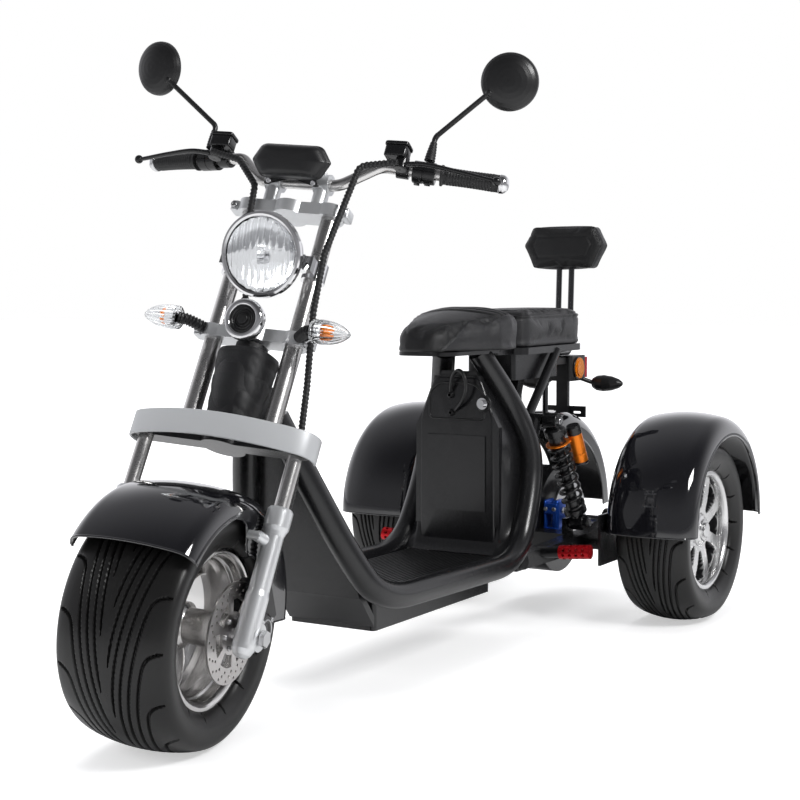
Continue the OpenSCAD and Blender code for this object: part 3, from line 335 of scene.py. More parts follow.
def mesh_of(name, parts, place, masks=None):
    """Joins surfaces into one mesh at its place, closes seams and poles and turns the faces outwards."""
    points = np.concatenate([p for p, _ in parts])
    counts = np.cumsum([0] + [len(p) for p, _ in parts])
    quads = np.concatenate([q + c for (_, q), c in zip(parts, counts)])
    mesh = bpy.data.meshes.new(name)
    mesh.from_pydata(place(points), [], quads.tolist())
    if masks is not None:
        set_mask(mesh, masks)
    bm = bmesh.new()
    bm.from_mesh(mesh)
    bmesh.ops.remove_doubles(bm, verts=bm.verts, dist=1e-6)
    bmesh.ops.dissolve_degenerate(bm, edges=bm.edges, dist=1e-7)
    bmesh.ops.recalc_face_normals(bm, faces=bm.faces)
    bm.to_mesh(mesh)
    bm.free()
    return mesh


def show(name, mesh, finish, body, replaces=(), crease=35):
    """A mesh as a piece of the object: smooth up to the crease angle, with its finish, on its body."""
    mesh.shade_smooth()
    mesh.set_sharp_from_angle(angle=math.radians(crease))
    obj = bpy.data.objects.new(name, mesh)
    scene.collection.objects.link(obj)
    mesh.materials.append(finish)
    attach(obj, body)
    if replaces:
        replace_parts(obj, *replaces)
    return obj


def piece(name, parts, place, finish, body, replaces=(), crease=35, masks=None):
    """Surfaces joined and shown as one piece."""
    return show(name, mesh_of(name, parts, place, masks), finish, body, replaces, crease)


# Effects shared by the finishes

def effect(name, inputs, outputs):
    """An empty shader group with its sockets; gives the group, its input node and its output node."""
    tree = bpy.data.node_groups.new(name, "ShaderNodeTree")
    kinds = {"color": "NodeSocketColor", "value": "NodeSocketFloat", "vector": "NodeSocketVector"}
    for label, kind in inputs:
        tree.interface.new_socket(label, in_out="INPUT", socket_type=kinds[kind])
    for label, kind in outputs:
        tree.interface.new_socket(label, in_out="OUTPUT", socket_type=kinds[kind])
    return tree, tree.nodes.new("NodeGroupInput"), tree.nodes.new("NodeGroupOutput")


def feed(tree, socket, value):
    """Links a socket to its source, or sets its plain value."""
    if isinstance(value, bpy.types.NodeSocket):
        tree.links.new(value, socket)
    else:
        socket.default_value = value


def node(tree, kind, links=(), **settings):
    """A node with its settings; links pairs an input with a socket or a plain value."""
    made = tree.nodes.new(kind)
    for key, value in settings.items():
        setattr(made, key, value)
    for key, value in links:
        feed(tree, made.inputs[key], value)
    return made


def maths(tree, operation, *values):
    """The socket of one sum on sockets or plain numbers."""
    return node(tree, "ShaderNodeMath", enumerate(values), operation=operation).outputs[0]


def vectors(tree, operation, *links):
    """The sockets of one sum on vectors."""
    return node(tree, "ShaderNodeVectorMath", links, operation=operation).outputs


def noise(tree, spot, scale, detail):
    """The sockets of a noise at a place, with its scale and its detail."""
    return node(tree, "ShaderNodeTexNoise", [("Vector", spot), ("Scale", scale), ("Detail", detail)]).outputs


def ramp(tree, value, start, end, low, high):
    """The socket of an S-shaped change from low to high while a value goes from start to end."""
    links = [("Value", value), ("From Min", start), ("From Max", end), ("To Min", low), ("To Max", high)]
    return node(tree, "ShaderNodeMapRange", links, interpolation_type="SMOOTHSTEP").outputs[0]


def bump_node(tree, height, strength, distance):
    """A bump from a height, with its strength and its depth in metres."""
    return node(tree, "ShaderNodeBump", [("Height", height), ("Strength", strength), ("Distance", distance)])


def drift_effect():
    """Slow and fine noise over the surface: a colour that drifts in tone, a roughness that drifts, and a
    height."""
    tree, into, out = effect(
        "drift",
        [("Vector", "vector"), ("Color", "color"), ("Tone", "value"), ("Roughness", "value"),
         ("Spread", "value"), ("Patch Scale", "value"), ("Grain Scale", "value")],
        [("Color", "color"), ("Roughness", "value"), ("Height", "value")])
    get = into.outputs
    patch = noise(tree, get["Vector"], get["Patch Scale"], 3.0)["Fac"]
    grain = noise(tree, get["Vector"], get["Grain Scale"], 2.0)["Fac"]
    lift = maths(tree, "MULTIPLY_ADD", maths(tree, "SUBTRACT", patch, 0.5), get["Tone"], 1.0)
    tone = vectors(tree, "SCALE", (0, get["Color"]), ("Scale", lift))[0]
    mid = maths(tree, "SUBTRACT", maths(tree, "ADD", grain, patch), 1.0)
    rough = maths(tree, "MULTIPLY_ADD", mid, get["Spread"], get["Roughness"])
    for label, socket in (("Color", tone), ("Roughness", rough), ("Height", grain)):
        tree.links.new(socket, out.inputs[label])
    return tree


def pebble_effect():
    """Leather grain: small cells with soft valleys between them, broken up by noise."""
    tree, into, out = effect("pebble", [("Vector", "vector"), ("Scale", "value")], [("Height", "value")])
    spot, scale = into.outputs["Vector"], into.outputs["Scale"]
    bend = vectors(tree, "SCALE", (0, noise(tree, spot, scale, 2.0)["Color"]), ("Scale", 0.0016))[0]
    shifted = vectors(tree, "ADD", (0, spot), (1, bend))[0]
    cells = node(tree, "ShaderNodeTexVoronoi", [("Vector", shifted), ("Scale", scale)], feature="DISTANCE_TO_EDGE")
    tree.links.new(ramp(tree, cells.outputs["Distance"], 0.0, 0.22, 0.0, 1.0), out.inputs["Height"])
    return tree


def turning_effect():
    """Marks of turning: fine noise that depends only on the distance from an axis and the place along it."""
    tree, into, out = effect(
        "turning", [("Vector", "vector"), ("Centre", "vector"), ("Axis", "vector"), ("Scale", "value")],
        [("Height", "value")])
    get = into.outputs
    arm = vectors(tree, "SUBTRACT", (0, get["Vector"]), (1, get["Centre"]))[0]
    along = vectors(tree, "DOT_PRODUCT", (0, arm), (1, get["Axis"]))["Value"]
    off = vectors(tree, "CROSS_PRODUCT", (0, arm), (1, get["Axis"]))[0]
    radius = vectors(tree, "LENGTH", (0, off))["Value"]
    spot = node(tree, "ShaderNodeCombineXYZ", [("X", radius), ("Y", along)]).outputs[0]
    tree.links.new(noise(tree, spot, get["Scale"], 3.0)["Fac"], out.inputs["Height"])
    return tree


DRIFT, PEBBLE, TURNING = drift_effect(), pebble_effect(), turning_effect()


def place_effect(tree, group, **values):
    """A group in a material with its own values."""
    made = tree.nodes.new("ShaderNodeGroup")
    made.node_tree = group
    for key, value in values.items():
        feed(tree, made.inputs[key.replace("_", " ").title()], value)
    return made.outputs


def finish(name, color, roughness, tone=0.25, spread=0.12, patch=9.0, grain=900.0, bump=0.08, depth=0.0002,
           **fixed):
    """A surface whose colour and roughness drift and whose grain is a bump; fixed values go straight to the
    shader."""
    material = bpy.data.materials.new(name)
    material.use_nodes = True
    tree = material.node_tree
    shader = tree.nodes["Principled BSDF"]
    spot = tree.nodes.new("ShaderNodeTexCoord").outputs["Object"]
    drift = place_effect(tree, DRIFT, vector=spot, color=(*color, 1), tone=tone, roughness=roughness,
                         spread=spread, patch_scale=patch, grain_scale=grain)
    tree.links.new(drift["Color"], shader.inputs["Base Color"])
    tree.links.new(drift["Roughness"], shader.inputs["Roughness"])
    tree.links.new(bump_node(tree, drift["Height"], bump, depth).outputs["Normal"], shader.inputs["Normal"])
    for key, value in fixed.items():
        shader.inputs[key.replace("_", " ").title().replace("Ior", "IOR")].default_value = value
    return material


def parts_of(material):
    """The tree, shader inputs, coordinates and drifting sockets of a finish."""
    tree = material.node_tree
    drift = next(n for n in tree.nodes if n.bl_idname == "ShaderNodeGroup" and n.node_tree == DRIFT)
    spot = next(n for n in tree.nodes if n.bl_idname == "ShaderNodeTexCoord").outputs["Object"]
    return tree, tree.nodes["Principled BSDF"].inputs, spot, drift.outputs


def stack_bump(material, height, strength, distance):
    """A second, coarser bump under the finish's own grain."""
    tree = material.node_tree
    grain = next(n for n in tree.nodes if n.bl_idname == "ShaderNodeBump")
    under = bump_node(tree, height, strength, distance)
    tree.links.new(under.outputs["Normal"], grain.inputs["Normal"])


def painted(material, color):
    """A second colour wherever the piece's own mask is 1; gives the mask's socket."""
    tree, shader, _, drift = parts_of(material)
    mask = node(tree, "ShaderNodeAttribute", attribute_name="mask").outputs["Fac"]
    links = [(0, mask), (6, drift["Color"]), (7, (*color, 1))]
    mixed = node(tree, "ShaderNodeMix", links, data_type="RGBA").outputs[2]
    tree.links.new(mixed, shader["Base Color"])
    return mask


def leather(name, color):
    """Black grained cover: pebbles under a fine grain."""
    made = finish(name, color, 0.40, tone=0.5, spread=0.16, patch=14, grain=2600, bump=0.15,
                  specular_ior_level=0.45)
    tree, _, spot, _ = parts_of(made)
    stack_bump(made, place_effect(tree, PEBBLE, vector=spot, scale=620.0)["Height"], 0.35, 0.0005)
    return made


def two_panel_leather(name, top, side):
    """Seat cover whose side panels are paler, told apart by the piece's own mask."""
    made = leather(name, top)
    painted(made, side)
    return made


def turned_metal(name, color, roughness, centre, axis, scale=420.0):
    """Polished metal with fine rings about an axle."""
    made = finish(name, color, roughness, tone=0.12, spread=0.10, metallic=1.0)
    tree, _, spot, _ = parts_of(made)
    rings = place_effect(tree, TURNING, vector=spot, centre=tuple(centre), axis=tuple(axis), scale=scale)
    stack_bump(made, rings["Height"], 0.12, 0.0004)
    return made


def two_tone(name, bright, dark):
    """Machined metal with painted pockets: the piece's own mask chooses between them, and the paint is rougher and
    shines less."""
    made = turned_metal(name, bright, 0.24, JOINTS["rear_left_spin"]["pos_m"], (0, 1, 0))
    mask = painted(made, dark)
    tree, shader, _, drift = parts_of(made)
    bare = maths(tree, "SUBTRACT", 1.0, mask)
    tree.links.new(bare, shader["Metallic"])
    tree.links.new(maths(tree, "MULTIPLY_ADD", mask, 0.35, drift["Roughness"]), shader["Roughness"])
    tree.links.new(maths(tree, "MULTIPLY_ADD", bare, 0.4, 0.1), shader["Specular IOR Level"])
    return made


def lens(name, color, roughness, transmission, scale=0.0):
    """Clear or tinted moulded plastic, with a fine prism pattern where scale is above zero."""
    made = finish(name, color, roughness, tone=0.1, spread=0.04, bump=0.03, transmission_weight=transmission,
                  ior=1.49)
    if scale:
        tree, _, spot, _ = parts_of(made)
        prism = node(tree, "ShaderNodeTexVoronoi", [("Vector", spot), ("Scale", scale)], distance="CHEBYCHEV")
        stack_bump(made, prism.outputs["Distance"], 0.6, 0.002)
    return made


SATIN = finish("satin_black_paint", (0.0055, 0.0055, 0.0062), 0.26, tone=0.4, spread=0.12, grain=1400, bump=0.10,
               coat_weight=0.15, coat_roughness=0.3)
GLOSS = finish("gloss_black_paint", (0.0045, 0.0045, 0.006), 0.08, tone=0.2, spread=0.03, patch=5, grain=260,
               bump=0.012, coat_weight=1.0, coat_roughness=0.03)
SILVER = finish("silver_paint", (0.50, 0.51, 0.52), 0.46, tone=0.10, spread=0.12, grain=2600, bump=0.06,
                metallic=0.35, coat_weight=0.2, coat_roughness=0.25)
CHROME = finish("chrome", (0.78, 0.78, 0.79), 0.07, tone=0.08, spread=0.05, patch=20, grain=700, bump=0.015,
                metallic=1.0)
CAST = finish("cast_alloy", (0.68, 0.69, 0.70), 0.34, tone=0.15, spread=0.16, grain=1500, bump=0.22, depth=0.0003,
              metallic=0.75)
TUBES = finish("brushed_tubes", (0.66, 0.65, 0.64), 0.27, tone=0.12, spread=0.12, patch=12, grain=1100, bump=0.05,
               metallic=1.0)
STEEL = finish("bare_steel", (0.55, 0.55, 0.56), 0.30, tone=0.2, spread=0.15, metallic=1.0, bump=0.06)
RUBBER = finish("tyre_rubber", (0.0075, 0.0073, 0.0072), 0.36, tone=0.5, spread=0.22, patch=16, grain=1300,
                bump=0.25, depth=0.0003, specular_ior_level=0.42)
PLASTIC = finish("moulded_plastic", (0.0075, 0.0075, 0.008), 0.36, tone=0.3, spread=0.12, grain=1900, bump=0.16)
GEAR = finish("glossy_plastic", (0.006, 0.006, 0.0065), 0.2, tone=0.3, spread=0.08, grain=1200, bump=0.05)
GRIP = finish("grip_rubber", (0.009, 0.009, 0.0095), 0.48, tone=0.3, spread=0.15, grain=1500, bump=0.25)
SEAT = two_panel_leather("seat_leather", (0.005, 0.005, 0.0055), (0.013, 0.013, 0.0145))
COVER = leather("neck_cover", (0.009, 0.009, 0.010))
CLEAR = lens("clear_lens", (0.95, 0.96, 0.97), 0.03, 1.0)
RED_LENS = lens("red_lens", (0.55, 0.02, 0.035), 0.10, 0.35, 160)
ORANGE_BULB = finish("orange_bulb", (0.95, 0.24, 0.01), 0.15, tone=0.1, spread=0.05, bump=0.02)
AMBER = lens("amber_lens", (0.95, 0.30, 0.01), 0.10, 0.35, 190)
ORANGE = finish("orange_anodised", (0.80, 0.20, 0.012), 0.28, tone=0.12, spread=0.1, metallic=0.7)
BLUE = finish("blue_anodised", (0.012, 0.075, 0.42), 0.28, tone=0.2, spread=0.1, metallic=0.6)
RED = finish("red_anodised", (0.52, 0.010, 0.016), 0.25, tone=0.15, spread=0.1, metallic=0.7)
GLASS = finish("mirror_glass", (0.88, 0.89, 0.90), 0.02, tone=0.02, spread=0.01, bump=0.0, metallic=1.0)
POLISHED = turned_metal("polished_alloy", (0.74, 0.73, 0.72), 0.20, AXLE, LEFT)
DRILLED = turned_metal("disc_steel", (0.58, 0.56, 0.55), 0.30, AXLE, LEFT, 700.0)
MACHINED = two_tone("machined_rim", (0.74, 0.74, 0.74), (0.012, 0.012, 0.013))

NODE_FINISH = {
    SATIN: ["frame_left", "frame_right", "front_shield", "battery_box", "battery_case", "seat_box",
            "swing_arm", "motor", "shocks", "fork_yokes", "handlebar"],
    GLOSS: ["backrest_posts", "guard_left", "guard_right", "guard_middle", "front_fender"],
    SILVER: ["bumper_band"],
    CHROME: ["headlight", "key_lock"],
    TUBES: ["fork_tubes"],
    CAST: ["fork_legs", "top_yoke", "mid_yoke"],
    STEEL: ["front_axle", "axle_left", "axle_right"],
    DRILLED: ["front_disc"],
    PLASTIC: ["deck", "tail_bracket", "horn", "signal_stalks", "dash", "controls", "mirrors", "front_caliper",
              "battery_lead", "brake_hoses"],
    GRIP: ["grips"],
    CLEAR: ["headlight_lens", "signal_lenses"],
    RED_LENS: ["tail_lens"],
    AMBER: ["reflectors"],
    ORANGE: ["shock_reservoirs"],
    BLUE: ["rear_caliper"],
    RED: ["pegs"],
    GLASS: ["mirror_glass"],
    COVER: ["neck"],
    SEAT: ["front_seat", "rear_seat", "backrest_pad"],
    RUBBER: ["front_tyre", "tyre_left", "tyre_right"],
    POLISHED: ["front_rim"],
    MACHINED: ["rim_left", "rim_right"],
}
for made, names in NODE_FINISH.items():
    for name in names:
        NODES[name].data.materials.clear()
        NODES[name].data.materials.append(made)


# Tyres

# section of a tyre from the crown to the bead: drop below the tread radius, share of the width
TYRE_SECTION = [(0, 0), (0.7, 0.1), (2.9, 0.2), (6.6, 0.3), (11, 0.38), (17, 0.445), (25, 0.479), (36, 0.485),
                (50, 0.472), (64, 0.44), (74, 0.405), (77.5, 0.36)]
GROOVES = 14
GROOVE_SPAN = math.radians(112)
GROOVE_DEPTH, GROOVE_HALF = 5.5, 3.0
# a groove's way across as shares of the width: its inner end, its sweep and its hook, and the turn of the hook
GROOVE_IN, GROOVE_SWEEP, GROOVE_HOOK, HOOK_TURN = 0.035, 0.29, 0.11, 0.035
SWEEP_POWER, SWEEP_SLOPE = 1.15, 0.33
# ridges on the tyre's wall: height, radius, width
WALL_RIBS = [(0.7, 166, 2.0), (0.5, 151, 1.4)]


def tread(theta, y, width):
    """Depth of the grooves at an angle and place across. Each groove starts at the shoulder as a short hook and
    then sweeps in towards the middle as the angle falls, so its place across is an early fall plus a long
    slow one; the depth depends on the distance from the nearest such line."""
    pitch = 2 * np.pi / GROOVES
    phase = np.mod(np.where(y < 0, pitch / 2, 0) - theta, pitch)
    depth = np.zeros(np.broadcast(theta, y).shape)
    for k in range(math.ceil(GROOVE_SPAN / pitch)):
        turn = phase + k * pitch
        t = turn / GROOVE_SPAN
        hook = np.exp(-turn / HOOK_TURN)
        across = width * (GROOVE_IN + GROOVE_SWEEP * np.clip(1 - t, 0, 1) ** SWEEP_POWER + GROOVE_HOOK * hook)
        slope = width * (SWEEP_SLOPE / GROOVE_SPAN + GROOVE_HOOK / HOOK_TURN * hook) / TYRE_R
        gap = np.abs(np.abs(y) - across) / np.sqrt(1 + slope ** 2)
        half = GROOVE_HALF * np.clip((1 - t) * 9, 0, 1) ** 0.5 + 1e-6
        cut = steps_smooth(1.5 * (1 - gap / half))
        depth = np.maximum(depth, np.where(t < 1, cut, 0))
    return GROOVE_DEPTH * depth * (np.abs(y) < 0.445 * width)


def tyre(name, width, place, body):
    """A tyre: a smooth section turned about the axle, with the tread cut along the section's own normal. The rows
    lie closer where the tread is."""
    half = smooth(TYRE_SECTION, 160)
    half = np.stack([TYRE_R - half[:, 0], half[:, 1] * width], 1)
    full = np.concatenate([half[::-1] * (1, -1), half[1:]])
    run = np.concatenate([[0], np.cumsum(np.linalg.norm(np.diff(full, axis=0), axis=1))])
    edge = np.interp(0.46 * width, half[:100, 1], run[len(half) - 1:len(half) + 99])
    other = run[-1] - edge
    s = np.concatenate([np.linspace(0, other, 14)[:-1], np.linspace(other, edge, 151),
                        np.linspace(edge, run[-1], 14)[1:]])
    r, y = np.interp(s, run, full[:, 0]), np.interp(s, run, full[:, 1])
    d = unit(np.stack([np.gradient(r, s), np.gradient(y, s)], 1))
    theta = np.linspace(0, 2 * np.pi, 532, endpoint=False)[:, None]
    rib = sum(high * line(r - at, wide) for high, at, wide in WALL_RIBS)
    cut = tread(theta, y[None], width) - (rib * (np.abs(y) > 0.40 * width))[None]
    outer = around(r[None] - cut * d[None, :, 1], y[None] + cut * d[None, :, 0], theta)
    inner = around(BEAD_R + 0.6, np.array([[0.33 * width, -0.33 * width]]), theta)
    wall = skin(np.concatenate([outer, inner], 1), wrap_u=True, wrap_v=True)
    return piece(name, [wall], place, RUBBER, body)


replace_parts(tyre("front_tyre_treaded", FRONT_TYRE_W, FORK, "front_wheel"), "front_tyre")
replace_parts(tyre("left_tyre_treaded", REAR_TYRE_W, REAR_LEFT, "rear_left_wheel"), "tyre_left")
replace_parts(tyre("right_tyre_treaded", REAR_TYRE_W, REAR_RIGHT, "rear_right_wheel"), "tyre_right")


# Mudguards

SHEET = 3.0
ROLL_R = 2.3
SKIRT_ROWS = 8


def guard_section(radius, half, edge_r, crown_r, count=47):
    """Section of a mudguard as (radius, across), with its outward normals: the arc of one edge, the flatter arc of
    the crown and the other edge, at even steps of length."""
    across = half - edge_r
    centre = radius - crown_r + math.sqrt((crown_r - edge_r) ** 2 - across ** 2)
    tip = math.asin(across / (crown_r - edge_r))
    edge, over = np.linspace(math.pi / 2, tip, 60), np.linspace(tip, 0, 60)[1:]
    side = np.concatenate([
        np.stack([centre + edge_r * np.cos(edge), across + edge_r * np.sin(edge)], 1),
        np.stack([radius - crown_r + crown_r * np.cos(over), crown_r * np.sin(over)], 1)])
    section = even(np.concatenate([side, side[-2::-1] * (1, -1)]), count)
    slope = unit(np.gradient(section, axis=0))
    return section, np.stack([-slope[:, 1], slope[:, 0]], 1), centre


def guard(radius, half, angles, low, edge_r=36.0, crown_r=440.0):
    """A pressed mudguard. Its wall is a grid of angle by section; the skirts run straight down from the section's
    ends to a radius that may change with the angle. The inner wall lies a sheet's thickness inside, the two ends
    close on the middle of the sheet, and a rolled wire follows all four edges."""
    section, normal, centre = guard_section(radius, half, edge_r, crown_r)
    a = np.radians(angles)[:, None]
    low = np.broadcast_to(low, len(angles))[:, None]
    skirt = low + (centre - low) * np.linspace(0, 1, SKIRT_ROWS + 1)[None, :-1]
    r = np.concatenate([skirt, np.repeat(section[None, :, 0], len(a), 0), skirt[:, ::-1]], 1)
    y = np.concatenate([np.full(SKIRT_ROWS, half), section[:, 1], np.full(SKIRT_ROWS, -half)])[None]
    n = np.concatenate([np.tile([0, 1.0], (SKIRT_ROWS, 1)), normal, np.tile([0, -1.0], (SKIRT_ROWS, 1))])
    outer, inner = around(r, y, a), around(r - SHEET * n[:, 0], y - SHEET * n[:, 1], a)
    middle = (outer + inner) / 2
    rows = np.concatenate([outer, inner[:, ::-1]], 1)
    ends = np.concatenate([middle, middle[:, ::-1]], 1)
    wall = skin(np.concatenate([ends[:1], rows, ends[-1:]]), wrap_v=True)
    return [wall] + [tube(p, ROLL_R, 8) for p in (middle[:, 0], middle[:, -1], middle[0], middle[-1])]


# rear mudguards: radius, half width, depth of the skirt, radii of edge and crown, shift from the axle
GUARD_R, GUARD_HALF, GUARD_SKIRT = 268, 109, 53
GUARD_EDGE_R, GUARD_CROWN_R = 44, 340
GUARD_SHIFT = (-30, 0, 8)
shell = guard(GUARD_R, GUARD_HALF, np.linspace(0.5, 179, 120), GUARD_R - GUARD_SKIRT, GUARD_EDGE_R, GUARD_CROWN_R)
for label, place in (("left", REAR_LEFT), ("right", REAR_RIGHT)):
    piece(label + "_guard_shell", shell, place.at(GUARD_SHIFT), GLOSS, "frame", ["guard_" + label])

MID_GUARD_HALF, MID_GUARD_SKIRT = 70, 60
POST_X, POST_Y, POST_LOW, POST_TOP = 70, 36, 471, 575.6
posts = [tube([(POST_X, k * POST_Y, z - TYRE_R) for z in (POST_LOW, POST_TOP)], 7, 16) for k in (-1, 1)]
shell = guard(GUARD_R, MID_GUARD_HALF, np.linspace(62, 176, 90), GUARD_R - MID_GUARD_SKIRT)
piece("middle_guard_shell", shell + posts, CHASSIS.at((0, 0, TYRE_R)), GLOSS, "frame",
      ["guard_middle"])

FENDER_R, FENDER_HALF = 243, 118
# lower edge of the front mudguard: angle above straight ahead, radius
FENDER_EDGE = [(18, 206), (24, 204), (32, 203), (46, 203), (58, 201), (66, 194), (71, 184), (73, 170),
               (74.5, 152), (77, 140), (82, 135), (100, 135), (158, 135)]
fender_angles = np.concatenate([np.linspace(18, 60, 40)[:-1], np.linspace(60, 84, 60)[:-1],
                                np.linspace(84, 158, 60)])
fender_low = np.interp(fender_angles, *np.transpose(FENDER_EDGE))
piece("front_fender_shell", guard(FENDER_R, FENDER_HALF, fender_angles, fender_low), FORK, GLOSS, "steering",
      ["front_fender"])


# Rims

POCKETS = 8
RIM_FACE, POCKET_FLOOR, RIM_BACK = 46.0, 22.0, 15.0
# a pocket from its inner to its outer end: half width at the inner end, growth outwards, and the cosine of the
# sides' slant; its corners are blended over POCKET_ROUND
POCKET_IN, POCKET_OUT = 50, 122
POCKET_HALF, POCKET_GROWTH, POCKET_SLANT, POCKET_ROUND = 7.5, 0.375, 0.936, 4.0


def pocket_depth(q, x):
    """How far a point lies inside a pocket with round corners: the smallest of its distances to the pocket's
    inner end, outer end and slanted sides, blended where two of them are alike."""
    wide = POCKET_HALF + (q - POCKET_IN) * POCKET_GROWTH
    walls = np.stack([q - POCKET_IN, POCKET_OUT - q, (wide - np.abs(x)) * POCKET_SLANT])
    return -POCKET_ROUND * np.log(np.sum(np.exp(-walls / POCKET_ROUND), 0))


def rear_rim(name, place, body, node):
    """A rear rim: barrel and lips turned about the axle, and a face plate on a grid of radius by angle that sinks
    into a pocket wherever the pocket's depth is above zero. The mask is 1 in the pockets."""
    angle = np.linspace(0, 2 * np.pi, POCKETS * 44, endpoint=False)[:, None]
    radius = np.concatenate([np.linspace(30, 44, 6)[:-1], np.linspace(44, 124, 58)])[None]
    turn = np.mod(angle + np.pi / POCKETS, 2 * np.pi / POCKETS) - np.pi / POCKETS
    depth = pocket_depth(radius * np.cos(turn), radius * np.sin(turn))
    sink, paint = steps_smooth(depth / 4.5), steps_smooth(depth / 0.8)
    dish = 2.0 * np.cos((radius - 84) / 40 * np.pi / 2)
    face = around(radius, RIM_FACE + dish - (RIM_FACE - POCKET_FLOOR) * sink, angle)
    back = around(radius[:, ::-1], RIM_BACK, angle)
    plate = skin(np.concatenate([face, back], 1), wrap_u=True, wrap_v=True)
    half = REAR_RIM_W / 2
    corners = [(122, -half + 9), (133, -half), (LIP_R, -half), (LIP_R, -half + 4), (BEAD_R, -half + 12),
               (BEAD_R, half - 12), (LIP_R, half - 4), (LIP_R, half), (131, half), (127, half - 5),
               (125, half - 12), (123, 40), (117, 0)]
    hub = [(14.5, -60), (40, -60), (40, 44), (40, 47), (34, 52), (26, 54), (25, 58), (14.5, 58)]
    cap = [(0, 57), (18, 57), (18, 62), (16, 64), (0, 65)]
    parts = [plate, lathe(rounded(corners, 1.2, 3), 160, along="y"), lathe(rounded(hub, 1.0, 3), 72, along="y"),
             lathe(cap, 48, closed=False, along="y"), ring_of(bolt_head((0, 49, 33), (0, 1, 0), 4.2, 4), 5)]
    mask = [np.concatenate([paint, np.zeros_like(paint)], 1).ravel()] + [np.zeros(len(p)) for p, _ in parts[1:]]
    piece(name, parts, place, MACHINED, body, [node], masks=np.concatenate(mask))


rear_rim("left_rim_machined", REAR_LEFT, "rear_left_wheel", "rim_left")
rear_rim("right_rim_machined", REAR_RIGHT, "rear_right_wheel", "rim_right")

FRONT_SPOKES = 6
# a spoke: where it starts, how far it goes out, half its width and how far it bends back
SPOKE_FROM, SPOKE_LONG, SPOKE_HALF, SPOKE_BEND = 34, 82, 3.4, np.radians(-26)


def curved_spoke():
    """One thin spoke: a rounded oblong section carried out from the hub on a line that bends back with the square
    of the way out; the section narrows and then flares at both ends."""
    t = np.linspace(0, 1, 26)[:, None]
    turn = np.linspace(0, 2 * np.pi, 20, endpoint=False)[None]
    radius = SPOKE_FROM + SPOKE_LONG * t
    bend = SPOKE_BEND * t ** 2
    flare = 1 + 0.8 * np.exp(-t / 0.08) + 0.7 * np.exp(-(1 - t) / 0.08)
    wide = SPOKE_HALF * flare * np.sign(np.cos(turn)) * np.abs(np.cos(turn)) ** 0.6
    deep = (9 + 4 * t) * np.sign(np.sin(turn)) * np.abs(np.sin(turn)) ** 0.6
    x = radius * np.sin(bend) + wide * np.cos(bend)
    z = radius * np.cos(bend) - wide * np.sin(bend)
    return skin(np.stack(np.broadcast_arrays(x, deep, z), -1), wrap_v=True)


half = FRONT_RIM_W / 2
lip = [(133, half), (LIP_R, half), (LIP_R, half - 4), (BEAD_R, half - 12)]
steps = [(112, 0), (114, 14), (118, 30), (119, 54), (124, 58), (125, half - 10), (129, half - 3)]
front_profile = lip + [(r, -y) for r, y in lip[::-1]] + [(r, -y) for r, y in steps[:0:-1]] + steps
front_hub = [(9.6, 113), (29, 113), (31, 111), (31, 34), (40, 28), (40, -28), (31, -34), (31, -97), (29, -99),
             (9.6, -99)]
piece("front_rim_polished",
      [lathe(rounded(front_profile, 1.6, 4), 192, along="y"), lathe(rounded(front_hub, 1.2, 3), 72, along="y"),
       ring_of(curved_spoke(), FRONT_SPOKES)], FORK, POLISHED, "front_wheel", ["front_rim"])
piece("disc_bolts", [ring_of(bolt_head((0, DISC_Y, 27), (0, 1, 0), 4.5, 4), 6)], FORK, STEEL, "front_wheel")


# Lamps and horn

LAMP = FORK.aimed((64, 0, LAMP_S), (math.cos(RAKE), 0, -math.sin(RAKE)))
FLUTE_DEPTH, FLUTE_PITCH = 1.5, 13


def fluted_lens(rim, base, rise, thick):
    """A clear dome: its outside is a quarter ellipse turned about the axis, its inside lies a wall further in and
    carries upright flutes, so its depth also swings with the place across."""
    turn = np.linspace(0, 2 * np.pi, 160, endpoint=False)[:, None]
    r = rim * np.sin(np.linspace(0, np.pi / 2, 46))[None]
    outer = base + rise * np.sqrt(np.clip(1 - (r / rim) ** 2, 0, 1))
    across = r * np.sin(turn)
    flute = FLUTE_DEPTH * np.abs(np.sin(across * np.pi / FLUTE_PITCH)) * steps_smooth((rim - r) / 8)
    inner = np.maximum(outer - thick - flute, base - 1)
    x, y = r * np.cos(turn), across
    front = np.stack([x, y, np.broadcast_to(outer, x.shape)], -1)
    rear = np.stack([x, y, inner], -1)[:, ::-1]
    return skin(np.concatenate([front, rear], 1), wrap_u=True, wrap_v=True)


piece("headlight_glass", [fluted_lens(rim=68.6, base=5.0, rise=15.0, thick=2.4)], LAMP, CLEAR, "steering",
      ["headlight_lens"])
bowl = [(68.4, 4.5), (60, 1.2), (48, -1.6), (34, -3.0), (17, -3.6), (16, -2.4), (12, -2.2)]
shield = [(0, -3.6), (9, -3.4), (9.5, 5.5), (7, 8.5), (3, 9.6), (0, 9.8)]
piece("headlight_bowl",
      [lathe(smooth(bowl, 40), 120, closed=False), lathe(smooth(shield, 24), 48, closed=False)],
      LAMP, CHROME, "steering")

HORN_TURN = math.radians(90) + RAKE / 2
HORN = FORK.aimed((40, 0, MID_YOKE + 26), (math.sin(HORN_TURN), 0, math.cos(HORN_TURN)))
trumpet = rounded([(38, 8), (39, 20), (36.5, 26.5), (31, 29), (26, 28), (25, 22), (30, 18)], 2.5, 6)
piece("horn_ring", [lathe(trumpet, 96)], HORN, CHROME, "steering")
